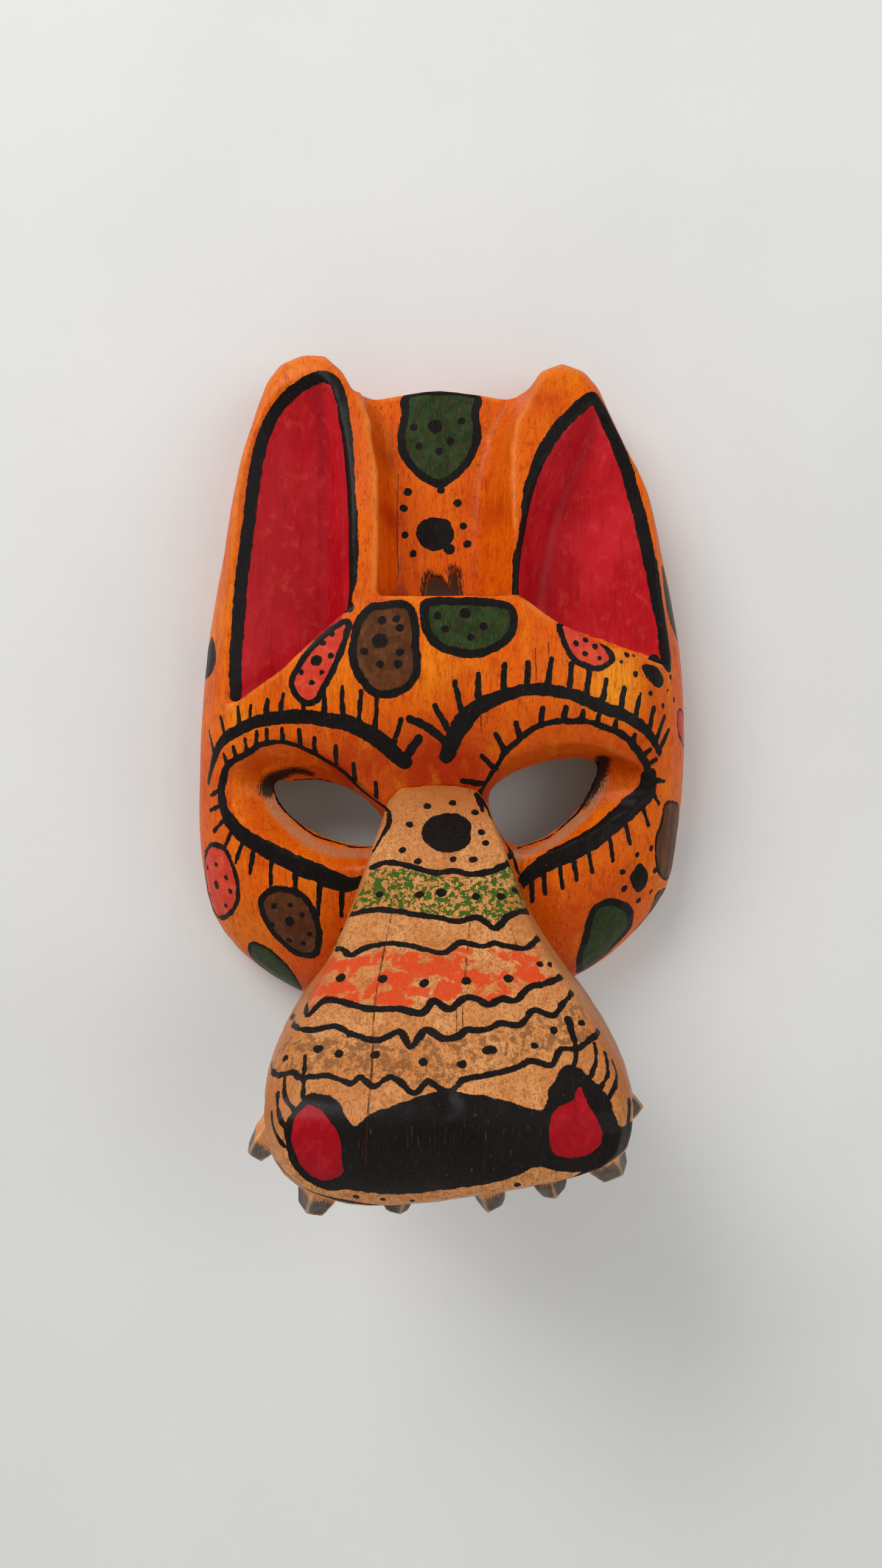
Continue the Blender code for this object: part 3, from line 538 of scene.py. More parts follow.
def neighbour_mean(mesh):
    """A function that gives each vertex the mean of a value over its neighbours."""
    flat = np.empty(len(mesh.edges) * 2, np.int32)
    mesh.edges.foreach_get("vertices", flat)
    a, b = flat.reshape(-1, 2).T
    ends, others = np.concatenate((a, b)), np.concatenate((b, a))
    count = len(mesh.vertices)
    degree = np.maximum(np.bincount(ends, minlength=count), 1)

    def mean(values):
        columns = [np.bincount(ends, values[others, i], count) / degree for i in range(values.shape[1])]
        return np.stack(columns, 1)

    return mean


def owners(trees, places):
    """For each place, the number of the nearest node and whether a second node is nearly as near."""
    if len(trees) == 1:
        return np.zeros(len(places), int), np.zeros(len(places), bool)
    gaps = np.array([[tree.find_nearest(p)[3] for tree in trees] for p in places])
    return gaps.argmin(1), np.sort(gaps, 1)[:, 1] < JOINT_REACH


def distance_to(edges, places):
    """How far each place lies from the nearest crisp edge."""
    if not edges:
        return np.full(len(places), 1.0)
    tree = KDTree(len(edges))
    for i, p in enumerate(edges):
        tree.insert(p, i)
    tree.balance()
    return np.array([tree.find(p)[2] for p in places])


def faired(mesh, places, open_face, passes):
    """The places after sanding: open faces even out without shrinking, and crisp edges stay."""
    mean = neighbour_mean(mesh)
    rounds, strength = ROUGH_DOWN
    for _ in range(rounds):
        places = places + strength * (mean(places) - places)
    for _ in range(passes):
        places = places + DRAW_IN * open_face * (mean(places) - places)
        places = places - LET_OUT * open_face * (mean(places) - places)
    return places


def knife_wave(place, waves):
    """Height of a set of waves at a place, from -1 to 1."""
    across_grain, along_grain = waves
    x, y, z = place
    return noise.noise((x * across_grain, y * across_grain, z * along_grain))


def number_faces(mesh, owner):
    """Gives each face its node's number as its material number."""
    starts = np.empty(len(mesh.polygons), np.int32)
    mesh.polygons.foreach_get("loop_start", starts)
    mesh.polygons.foreach_set("material_index", owner[corners(mesh)[starts]].astype(np.int32))


def carve(nodes, name, division, passes, knife_depth, soft_edge):
    """The glued nodes as they leave the knife: even, fair faces, softened edges and low knife waves.

    Each face's material number tells which node it belongs to.
    """
    bm, edges, trees = glued(nodes)
    mesh = fine_mesh(bm, name, division)
    bm.free()
    places = coordinates(mesh)
    open_face = ease(0.2 * soft_edge, soft_edge, distance_to(edges, places))[:, None]
    places = faired(mesh, places, open_face, passes)
    mesh.vertices.foreach_set("co", places.ravel())
    mesh.update()
    wave = np.array([knife_wave(p, BROAD_WAVE) + FINE_SHARE * knife_wave(p, FINE_WAVE) for p in places])
    places += normals(mesh) * (wave * knife_depth + CLOSE_UP)[:, None]
    boxes = np.array([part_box(node) for node in nodes])
    owner, shared = owners(trees, places)
    low = np.where(shared[:, None], boxes[:, 0].min(0), boxes[owner, 0])
    high = np.where(shared[:, None], boxes[:, 1].max(0), boxes[owner, 1])
    places = np.clip(places, low, high)
    mesh.vertices.foreach_set("co", places.ravel())
    mesh.materials.clear()
    for _ in nodes:
        mesh.materials.append(None)
    number_faces(mesh, owner)
    mesh.update()
    return mesh


bench = {}  # blocks carved so far: mesh and search tree


def on_bench(nodes):
    """The carved block, carved now if it isn't yet. Paint is laid over both carved blocks together."""
    if nodes not in bench:
        sizes = bpy.context.scene.mask_carving
        division = sizes.face_division if nodes == HEAD else sizes.muzzle_division
        mesh = carve(
            nodes, "carved " + nodes[0], division, sizes.smoothing, sizes.knife_depth, sizes.soft_edge
        )
        flat = corners(mesh)
        faces = [flat[p.loop_start:p.loop_start + p.loop_total].tolist() for p in mesh.polygons]
        bench[nodes] = (mesh, BVHTree.FromPolygons([v.co for v in mesh.vertices], faces))
    return bench[nodes]


# ---------------------------------------------------------------------------------------------------------
# Laying out the paint
# ---------------------------------------------------------------------------------------------------------

def curve(a, b, c, d, step):
    """Points from b towards c on the smooth line that passes through all four."""
    count = max(2, int(np.linalg.norm(c - b) / step))
    for t in np.arange(count) / count:
        yield 0.5 * (
            2 * b + (c - a) * t + (2 * a - 5 * b + 4 * c - d) * t**2 + (3 * b - a - 3 * c + d) * t**3
        )


def smooth_line(points, step=0.35):
    """Points along a smooth line through the given ones, in millimetres."""
    p = [np.array(q, float) for q in points]
    p = [2 * p[0] - p[1], *p, 2 * p[-1] - p[-2]]
    line = []
    for a, b, c, d in zip(p, p[1:], p[2:], p[3:]):
        line += curve(a, b, c, d, step)
    line.append(p[-2])
    return np.array(line)


def smooth_ring(points, step=0.5):
    """Points around a smooth closed outline, in millimetres."""
    ring = [np.array(q, float) for q in points]
    line = []
    for i in range(len(ring)):
        line += curve(*(ring[(i + k) % len(ring)] for k in (-1, 0, 1, 2)), step)
    return np.array(line)


def widths_along(widths, count):
    widths = widths if isinstance(widths, tuple) else (widths, widths)
    return np.interp(np.linspace(0, 1, count), np.linspace(0, 1, len(widths)), widths)


def on_wood(x, z):
    """The frontmost point of the carved mask at a place, in metres, or None."""
    start, best = Vector((x * MM, -0.3, z * MM - MUZZLE_ROOT)), None
    for nodes in (HEAD, SNOUT):
        hit = on_bench(nodes)[1].ray_cast(start, Vector((0, 1, 0)))[0]
        if hit is not None and (best is None or hit.y < best.y):
            best = hit
    return best


def laid(points, widths):
    """A stroke laid on the wood: runs of places and half widths, broken where the wood drops away."""
    runs, run = [], []
    for (x, z), width in zip(points, widths_along(widths, len(points))):
        place = on_wood(x, z)
        if place is None or (run and (place - run[-1][0]).length > DROP):
            runs.append(run)
            run = []
        if place is not None:
            run.append((place, width / 2 * MM))
    runs.append(run)
    return [
        (np.array([tuple(p) for p, _ in run]), np.array([w for _, w in run])) for run in runs if run
    ]


def stroke_distance(places, runs, reach=2.5 * MM):
    """How far each vertex lies outside the strokes, in millimetres: negative inside."""
    found = np.full(len(places), FAR * MM)
    for line, half in runs:
        if len(line) == 1:
            line, half = np.repeat(line, 2, 0), np.repeat(half, 2)
        for first in range(0, len(line) - 1, STROKE_RUN):
            a, b = line[first:first + STROKE_RUN], line[first + 1:first + STROKE_RUN + 1]
            a = a[:len(b)]
            wa, wb = half[first:first + len(a)], half[first + 1:first + 1 + len(b)]
            room = wa.max() + wb.max() + reach
            low, high = np.minimum(a.min(0), b.min(0)) - room, np.maximum(a.max(0), b.max(0)) + room
            near = np.nonzero(((places > low) & (places < high)).all(1))[0]
            if not len(near):
                continue
            p = places[near][:, None]
            along = b - a
            share = ((p - a) * along).sum(2) / np.maximum((along**2).sum(1), 1e-12)
            share = np.clip(share, 0, 1)
            gap = np.linalg.norm(p - a - share[..., None] * along, axis=2) - (wa + (wb - wa) * share)
            found[near] = np.minimum(found[near], gap.min(1))
    return found / MM


def patch_distance(places, facing, outline, reach=4.0):
    """How far each front vertex lies outside a painted patch, seen from the front, in millimetres."""
    seen = np.stack((places[:, 0], places[:, 2] + MUZZLE_ROOT), 1) / MM
    found = np.full(len(places), FAR)
    low, high = outline.min(0) - reach, outline.max(0) + reach
    near = np.nonzero(((seen > low) & (seen < high)).all(1) & (facing[:, 1] < 0.25))[0]
    for part in np.array_split(near, max(1, len(near) // 4000)):
        if not len(part):
            continue
        p = seen[part][:, None]
        a, b = outline, np.roll(outline, -1, 0)
        along = b - a
        share = np.clip(((p - a) * along).sum(2) / np.maximum((along**2).sum(1), 1e-9), 0, 1)
        gap = np.linalg.norm(p - a - share[..., None] * along, axis=2).min(1)
        crosses = (a[:, 1] > p[..., 1]) != (b[:, 1] > p[..., 1])
        rise = np.where(np.abs(along[:, 1]) < 1e-9, 1e-9, along[:, 1])
        left = p[..., 0] < a[:, 0] + (p[..., 1] - a[:, 1]) / rise * along[:, 0]
        inside = (crosses & left).sum(1) % 2 == 1
        found[part] = np.minimum(found[part], np.where(inside, -gap, gap))
    return found


def blobs(places, spots):
    """Soft round areas seen from the front."""
    seen = np.stack((places[:, 0], places[:, 2] + MUZZLE_ROOT), 1) / MM
    total = np.zeros(len(places))
    for middle, reach, strength in spots:
        total += strength * np.exp(-((seen - np.array(middle))**2).sum(1) / (0.7 * reach**2))
    return np.clip(total, 0, 1.2)


layout = {}  # strokes once laid on the wood, by kind


def paint_layout():
    """All strokes laid on the carved wood, worked out once."""
    if layout:
        return layout
    ink = []
    for widths, points in STROKES:
        ink += laid(smooth_line(points), widths)
    for width, pairs in LASHES:
        for root, tip in pairs:
            ink += laid(smooth_line([root, tip]), (1.15 * width, width, 0.9 * width))
    for colour, width, points in SPOTS:
        ring = smooth_ring(points)
        if width:
            ink += laid(np.vstack((ring, ring[:1])), width)
    for reach, middles in DOTS:
        for x, z in middles:
            ink += laid([(x, z)], 2 * reach)
    layout["ink"] = ink
    layout["worn"] = [r for width, points in WORN for r in laid(smooth_line(points), width)]
    layout["scorch"] = [r for width, points in SCORCHED for r in laid(smooth_line(points), width)]
    layout["crack"] = [r for width, points in CRACKS for r in laid(smooth_line(points), width)]
    return layout


def paint_marks(nodes, places, facing):
    """Each paint's distance at the vertices of a block, by name."""
    plan = paint_layout()
    marks = {kind: stroke_distance(places, plan[kind]) for kind in ("ink", "worn", "scorch", "crack")}
    for colour in ("green", "brown", "pink"):
        marks[colour] = np.full(len(places), FAR)
    marks["red"] = np.full(len(places), FAR)

    def fill(kind, outline):
        marks[kind] = np.minimum(marks[kind], patch_distance(places, facing, outline))

    for colour, _, points in SPOTS:
        fill(colour, smooth_ring(points))
    if nodes == SNOUT:
        fill("ink", smooth_ring(NOSE))
        for outline in NOSTRILS:
            fill("red", smooth_ring(outline))
        for name, outline in (("green", GREEN_BAND), ("pink", RED_BAND), ("brown", BROWN_BAND)):
            marks[name] = patch_distance(places, facing, np.array(outline, float))
    else:
        for outline in EAR_RED:
            fill("red", np.array(outline, float))
    return marks


def finer_near_paint(mesh, marks, reach):
    """Splits the squares that a paint edge or a crack crosses."""
    near = np.zeros(len(mesh.vertices), bool)
    for name in ("ink", "green", "brown", "pink", "red"):
        near |= np.abs(marks[name]) < reach
    near |= marks["crack"] < 0.8
    bm = bmesh.new()
    bm.from_mesh(mesh)
    bm.verts.ensure_lookup_table()
    chosen = [e for e in bm.edges if near[e.verts[0].index] or near[e.verts[1].index]]
    bmesh.ops.subdivide_edges(bm, edges=chosen, cuts=1, use_grid_fill=True, smooth=0)
    bmesh.ops.triangulate(bm, faces=[f for f in bm.faces if len(f.verts) > 4])
    bm.to_mesh(mesh)
    bm.free()
    mesh.update()


def write_marks(mesh, marks):
    for mark, values in marks.items():
        layer = mesh.attributes.new(mark, "FLOAT", "POINT")
        layer.data.foreach_set("value", values.astype(np.float32))


def hollows(mesh, places, facing, softening, gain):
    """How hollow the wood is at each vertex: 1 in a groove, -1 on a ridge."""
    mean = neighbour_mean(mesh)
    bend = ((mean(places) - places) * facing).sum(1)[:, None] / MM
    for _ in range(softening):
        bend = mean(bend)
    return np.clip(bend[:, 0] * gain, -1, 1)


painted = {}  # blocks with their paint marks


def painted_block(nodes, reach=1.1):
    """The carved block with its paint marks and its normals kept as attributes, worked out once."""
    if nodes in painted:
        return painted[nodes]
    mesh = on_bench(nodes)[0].copy()
    finer_near_paint(mesh, paint_marks(nodes, coordinates(mesh), normals(mesh)), reach)
    places, facing = coordinates(mesh), normals(mesh)
    marks = paint_marks(nodes, places, facing)
    # deep: deeper stain and painted shade; pale: thinner stain and painted highlight
    marks["deep"] = blobs(places, STAIN_AND_PAINTED_SHADE)
    marks["pale"] = blobs(places, THIN_STAIN_AND_PAINTED_HIGHLIGHT)
    # how hollow the wood is, which the finishes use for painted shade in grooves and painted highlight on
    # ridges
    marks["hollow"] = hollows(mesh, places, facing, 6, 14)
    marks["inside"] = ease(0.05, 0.35, facing[:, 1])
    write_marks(mesh, marks)
    layer = mesh.attributes.new("facing", "FLOAT_VECTOR", "POINT")
    layer.data.foreach_set("vector", facing.astype(np.float32).ravel())
    painted[nodes] = mesh
    return mesh


def dress(mesh, material):
    """Gives the whole mesh one finish and smooth shading."""
    mesh.materials.clear()
    mesh.materials.append(material)
    mesh.polygons.foreach_set("material_index", np.zeros(len(mesh.polygons), np.int32))
    mesh.polygons.foreach_set("use_smooth", np.ones(len(mesh.polygons), bool))


def set_down(mesh, name, node):
    """Puts a finished mesh in its node's place."""
    obj = link(bpy.data.objects.new(name, mesh))
    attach(obj, "root")
    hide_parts(node)


def keep_share(mesh, number):
    """Leaves only the faces with a node's number."""
    bm = bmesh.new()
    bm.from_mesh(mesh)
    bmesh.ops.delete(bm, geom=[f for f in bm.faces if f.material_index != number], context="FACES")
    bm.to_mesh(mesh)
    bm.free()


def finished_piece(nodes, node, name, material):
    """One node's share of a painted block, put in the node's place. Its shading runs on over the joint."""
    mesh = painted_block(nodes).copy()
    mesh.name = name
    if len(nodes) > 1:
        keep_share(mesh, nodes.index(node))
    dress(mesh, material)
    facing = np.empty(len(mesh.vertices) * 3, np.float32)
    mesh.attributes["facing"].data.foreach_get("vector", facing)
    mesh.normals_split_custom_set_from_vertices(facing.reshape(-1, 3).tolist())
    mesh.attributes.remove(mesh.attributes["facing"])
    set_down(mesh, name, node)


# ---------------------------------------------------------------------------------------------------------
# Finishes
# ---------------------------------------------------------------------------------------------------------

# Noises: cells per metre across and along the grain, which runs up the mask, detail, roughness and twist
GRAINS = {
    "fibre": (2600, 190, 4, 0.6),
    "streaks": (620, 34, 4, 0.65, 0.3),
    "board": (120, 9, 4, 0.6, 0.6),
    "cloud": (46, 34, 4, 0.6),
    "stained pores": (1500, 330, 3, 0.7),
    "bare pores": (1500, 200, 3, 0.7),
    "bristle": (2600, 420, 3, 0.6),
    "brush": (240, 210, 4, 0.62, 0.4),
    "sway": (330, 260, 2),
    "sponge": (620, 520, 3, 0.62),
    "dab": (165, 150, 3, 0.55, 0.3),
    "patch": (420, 300, 4, 0.7, 0.5),
    "tooth fibre": (2200, 260, 4, 0.6),
    "tooth cloud": (160, 120, 3, 0.6),
    "dowel fibre": (2400, 200, 4, 0.6),
    "dowel board": (300, 20, 3, 0.6),
    "plaster cloud": (9, 9, 4, 0.5),
    "plaster tooth": (900, 900, 3, 0.6),
}
GOUGES = (95, 42)  # gouge marks per metre across and along the hollow back

# The tones that mottle each wood and paint, and the painted shade of grooves and painted highlight of
# ridges
TONES = {
    "bare shade": (0.55, 0.195, 0.050),
    "bare light": (0.78, 0.42, 0.17),
    "bare edge shade": (0.42, 0.125, 0.026),
    "bare streak": (0.42, 0.140, 0.032),
    "stained pore": (0.10, 0.018, 0.004),
    "rubbed": (0.50, 0.210, 0.095),
    "rubbed fibre": (0.28, 0.088, 0.030),
    "groove": (0.12, 0.028, 0.008),
    "ridge": (0.86, 0.36, 0.07),
    "green": (0.020, 0.055, 0.015),
    "brown": (0.125, 0.045, 0.013),
    "pink": (0.66, 0.075, 0.030),
    "rose brush": (0.58, 0.040, 0.034),
    "rose streak": (0.26, 0.003, 0.007),
    "rose crease shade": (0.16, 0.006, 0.010),
    "black streak": (0.028, 0.017, 0.011),
    "black cloud": (0.012, 0.010, 0.009),
    "nostril": (0.42, 0.008, 0.016),
    "burnt": (0.012, 0.008, 0.006),
    "crack": (0.045, 0.016, 0.007),
    "raw board": (0.34, 0.185, 0.090),
    "raw fibre": (0.20, 0.100, 0.045),
    "raw cloud": (0.42, 0.16, 0.045),
    "tooth": (0.62, 0.19, 0.045),
    "tooth light": (0.74, 0.33, 0.12),
    "tooth fibre": (0.25, 0.065, 0.02),
    "tip": (0.060, 0.060, 0.058),
    "tip light": (0.120, 0.118, 0.110),
    "gum": (0.28, 0.020, 0.020),
    "tooth ridge rub and highlight": (0.78, 0.45, 0.22),
    "dowel": (0.55, 0.36, 0.19),
    "dowel board": (0.42, 0.25, 0.12),
    "dowel fibre": (0.24, 0.13, 0.06),
}

class Recipe:
    """A finish built up in layers of nodes."""

    def __init__(self, name):
        self.material = bpy.data.materials.new(name)
        self.material.use_nodes = True
        self.tree = self.material.node_tree
        self.shader = self.tree.nodes["Principled BSDF"]
        self.place = self.node("ShaderNodeTexCoord").outputs["Object"]
        self.grains = {}

    def node(self, kind, **settings):
        made = self.tree.nodes.new(kind)
        for key, value in settings.items():
            setattr(made, key, value)
        return made

    def put(self, socket, value):
        if isinstance(value, bpy.types.NodeSocket):
            self.tree.links.new(value, socket)
        elif hasattr(value, "__len__"):
            opaque = (1,) if socket.type == "RGBA" and len(value) == 3 else ()
            socket.default_value = (*value, *opaque)
        else:
            socket.default_value = value

    def mark(self, name):
        return self.node("ShaderNodeAttribute", attribute_name=name).outputs["Fac"]

    def stretched(self, across, along):
        """Places scaled to cells per metre across and along the grain."""
        mapping = self.node("ShaderNodeMapping")
        self.put(mapping.inputs["Vector"], self.place)
        mapping.inputs["Scale"].default_value = (across, across, along)
        return mapping.outputs["Vector"]

    def grain(self, name):
        """One of the noises, made once for each finish."""
        if name not in self.grains:
            self.grains[name] = self.noise(*GRAINS[name])
        return self.grains[name]

    def noise(self, across, along, detail, roughness=0.55, twist=0.0):
        made = self.node("ShaderNodeTexNoise")
        self.put(made.inputs["Vector"], self.stretched(across, along))
        made.inputs["Scale"].default_value = 1
        made.inputs["Detail"].default_value = detail
        made.inputs["Roughness"].default_value = roughness
        made.inputs["Distortion"].default_value = twist
        return made.outputs["Fac"]

    def math(self, operation, a, b=0.0, clamp=False):
        made = self.node("ShaderNodeMath", operation=operation, use_clamp=clamp)
        self.put(made.inputs[0], a)
        self.put(made.inputs[1], b)
        return made.outputs[0]

    def between(self, value, low, high, to_low=0.0, to_high=1.0):
        made = self.node("ShaderNodeMapRange", interpolation_type="SMOOTHSTEP")
        for key, item in zip(
            ("Value", "From Min", "From Max", "To Min", "To Max"), (value, low, high, to_low, to_high)
        ):
            self.put(made.inputs[key], item)
        return made.outputs["Result"]

    def vein(self, name, low, high, to_low=0.0, to_high=1.0):
        """A noise taken between two of its levels."""
        return self.between(self.grain(name), low, high, to_low, to_high)

    def mix(self, share, a, b):
        made = self.node("ShaderNodeMix", data_type="RGBA")
        self.put(made.inputs["Factor"], share)
        self.put(made.inputs["A"], a)
        self.put(made.inputs["B"], b)
        return made.outputs["Result"]

    def covered(self, name, spread=0.64, sway=1.5, soft=0.12):
        """Share of a paint: full inside its mark, its edge dragged by bristles and swayed by the hand."""
        dragged = self.math("MULTIPLY", self.math("SUBTRACT", self.grain("bristle"), 0.5), spread)
        swayed = self.math("MULTIPLY", self.math("SUBTRACT", self.grain("sway"), 0.5), sway)
        edge = self.math("ADD", self.mark(name), self.math("ADD", dragged, swayed))
        return self.between(edge, soft, -soft)

    def bump(self, height, depth, under=None):
        made = self.node("ShaderNodeBump")
        made.inputs["Distance"].default_value = depth
        self.put(made.inputs["Height"], height)
        if under is not None:
            self.put(made.inputs["Normal"], under)
        return made.outputs["Normal"]

    def finish(self, colour, roughness, normal, coat=0.10, coat_roughness=0.24, specular=0.05):
        self.put(self.shader.inputs["Base Color"], colour)
        self.put(self.shader.inputs["Roughness"], roughness)
        self.put(self.shader.inputs["Normal"], normal)
        self.shader.inputs["Coat Weight"].default_value = coat
        self.shader.inputs["Coat Roughness"].default_value = coat_roughness
        self.shader.inputs["Specular IOR Level"].default_value = specular
        return self.material


def bare_wood(r, paints):
    """Light wood of the muzzle, with painted shade at its edges, and short flecks."""
    wood = r.mix(r.vein("cloud", 0.3, 0.75), paints.bare_wood, TONES["bare shade"])
    wood = r.mix(r.vein("board", 0.48, 0.72, 0, 0.5), wood, TONES["bare light"])
    # painted shade at the muzzle's sides and beside the nose
    wood = r.mix(r.math("MULTIPLY", r.mark("deep"), 1.1, True), wood, TONES["bare edge shade"])
    wood = r.mix(r.vein("streaks", 0.47, 0.62, 0, 0.65), wood, TONES["bare streak"])
    wood = r.mix(r.vein("bare pores", 0.52, 0.60, 0, 0.75), wood, paints.bare_fleck)
    return r.mix(r.vein("fibre", 0.50, 0.68, 0, 0.45), wood, paints.bare_fleck)


def stained_wood(r, paints):
    """Orange stain, deep in some places and thin in others, with painted shade and painted highlight laid
    in some of these places, rubbed off beside the eye holes.
    """
    # deep carries deeper stain and painted shade; pale carries thinner stain and painted highlight
    deep = r.math("ADD", r.mark("deep"), r.vein("cloud", 0.52, 0.78, 0, 0.55), True)
    pale = r.math("ADD", r.mark("pale"), r.vein("cloud", 0.47, 0.22, 0, 0.38), True)
    wood = r.mix(pale, paints.stain, paints.pale_stain_and_highlight)
    wood = r.mix(deep, wood, paints.deep_stain_and_shade)
    wood = r.mix(r.vein("board", 0.5, 0.75, 0, 0.35), wood, paints.pale_stain_and_highlight)
    wood = r.mix(r.vein("brush", 0.50, 0.72, 0, 0.5), wood, paints.deep_stain_and_shade)
    wood = r.mix(r.vein("streaks", 0.52, 0.72, 0, 0.5), wood, paints.deep_stain_and_shade)
    wood = r.mix(r.vein("fibre", 0.50, 0.67, 0, 0.55), wood, paints.deep_stain_and_shade)
    wood = r.mix(r.vein("stained pores", 0.58, 0.67, 0, 0.6), wood, TONES["stained pore"])
    worn = r.math("MULTIPLY", r.between(r.mark("worn"), 1.6, -1.2), r.vein("brush", 0.34, 0.6, 0.5, 0.95))
    rubbed = r.mix(r.vein("fibre", 0.45, 0.65, 0, 0.6), TONES["rubbed"], TONES["rubbed fibre"])
    return r.mix(worn, wood, rubbed)


def dabbed_bands(r, colour, paints):
    """Green, red and brown dabs across the muzzle."""
    green = r.math("MULTIPLY", r.covered("green"), r.vein("sponge", 0.47, 0.51, 0, 0.95))
    colour = r.mix(green, colour, paints.band_green)
    red = r.math("MULTIPLY", r.covered("pink", 2.4), r.vein("dab", 0.44, 0.51, 0.08, 0.92))
    red = r.math("MULTIPLY", red, r.vein("bare pores", 0.62, 0.5, 0.45, 1.0))
    colour = r.mix(red, colour, paints.band_red)
    brown = r.math("MULTIPLY", r.covered("brown", 2.4), r.vein("patch", 0.48, 0.56, 0, 0.78))
    return r.mix(brown, colour, paints.band_brown)


def spots_and_ears(r, colour, paints, thin):
    """The spots' fillings and the red inside the ears."""
    for mark, tint in (("green", paints.green), ("brown", paints.brown), ("pink", paints.pink)):
        layer = r.mix(r.vein("brush", 0.42, 0.68), tint, TONES[mark])
        colour = r.mix(r.math("MULTIPLY", r.covered(mark), thin), colour, layer)
    rose = r.mix(r.vein("cloud", 0.40, 0.66), paints.ear_red, paints.ear_rose)
    rose = r.mix(r.vein("brush", 0.52, 0.72, 0, 0.6), rose, TONES["rose brush"])
    rose = r.mix(r.vein("streaks", 0.52, 0.70, 0, 0.5), rose, TONES["rose streak"])
    # painted shade in the hollows of the ears' red
    rose = r.mix(r.between(r.mark("hollow"), 0.1, 0.8, 0, 0.6), rose, TONES["rose crease shade"])
    return r.mix(r.math("MULTIPLY", r.covered("red"), thin), colour, rose)


def black_paint(r, paints):
    black = r.mix(r.vein("fibre", 0.50, 0.72, 0, 0.55), paints.black, TONES["black streak"])
    return r.mix(r.vein("cloud", 0.4, 0.7, 0, 0.5), black, TONES["black cloud"])


def raw_wood(r, paints):
    """Unfinished wood of the hollow back."""
    raw = r.mix(r.vein("board", 0.35, 0.7), paints.raw_wood, TONES["raw board"])
    raw = r.mix(r.vein("fibre", 0.48, 0.66, 0, 0.5), raw, TONES["raw fibre"])
    return r.mix(r.vein("cloud", 0.5, 0.75, 0, 0.4), raw, TONES["raw cloud"])


def wood_relief(r, pores, ink, split, inside):
    """Fine grain, brush marks, the paint's thickness, open cracks, and gouge marks on the back."""
    lines = r.math("MULTIPLY", r.grain("fibre"), 0.6)
    pits = r.math("MULTIPLY", r.grain(pores), 0.5)
    normal = r.bump(r.math("ADD", lines, pits), 0.00016)
    normal = r.bump(r.grain("brush"), 0.00035, normal)
    normal = r.bump(ink, 0.00006, normal)
    normal = r.bump(r.math("SUBTRACT", 1.0, split), 0.0004, normal)
    gouge = r.node("ShaderNodeTexVoronoi", feature="SMOOTH_F1")
    r.put(gouge.inputs["Vector"], r.stretched(*GOUGES))
    gouge.inputs["Scale"].default_value = 1
    return r.bump(r.math("MULTIPLY", gouge.outputs["Distance"], inside), 0.0011, normal)


def painted_wood(name, bare):
    """Stained or bare wood under the painted marks, with the raw back and a satin varnish."""
    paints = bpy.context.scene.mask_paints
    r = Recipe(name)
    pores = "bare pores" if bare else "stained pores"
    ink, inside, hollow = r.covered("ink"), r.mark("inside"), r.mark("hollow")
    thin = r.vein("fibre", 0.46, 0.68, 1.0, 0.90)  # paint sinks into the open grain

    colour = bare_wood(r, paints) if bare else stained_wood(r, paints)
    # painted shade in the grooves, and ridges painted lighter, as rubbed stain and as painted highlight
    colour = r.mix(r.between(hollow, 0.12, 0.9, 0, 0.55), colour, TONES["groove"])
    colour = r.mix(r.between(hollow, -0.25, -0.95, 0, 0.30), colour, TONES["ridge"])
    colour = dabbed_bands(r, colour, paints) if bare else spots_and_ears(r, colour, paints, thin)
    dry = r.math("MULTIPLY", ink, r.vein(pores, 0.63, 0.72, 1.0, 0.72))
    colour = r.mix(dry, colour, black_paint(r, paints))
    if bare:
        nostril = r.mix(r.vein("brush", 0.45, 0.7), paints.nostril_red, TONES["nostril"])
        colour = r.mix(r.math("MULTIPLY", r.covered("red"), thin), colour, nostril)
    scorch = r.math("ADD", r.mark("scorch"), r.vein("bristle", 0.2, 0.8, -1.4, 1.4))
    colour = r.mix(r.between(scorch, 1.3, -0.6, 0, 0.97), colour, TONES["burnt"])
    crack = r.math("ADD", r.mark("crack"), r.vein("board", 0.35, 0.7, -0.04, 0.16))
    split = r.between(crack, 0.26, -0.10)
    colour = r.mix(r.math("MULTIPLY", split, 0.9), colour, TONES["crack"])
    colour = r.mix(inside, colour, raw_wood(r, paints))

    rough = r.math("ADD", r.vein("fibre", 0.35, 0.7, 0.34, 0.52), r.math("MULTIPLY", ink, 0.05))
    rough = r.math("ADD", rough, r.math("MULTIPLY", inside, 0.3), True)
    return r.finish(colour, rough, wood_relief(r, pores, ink, split, inside))


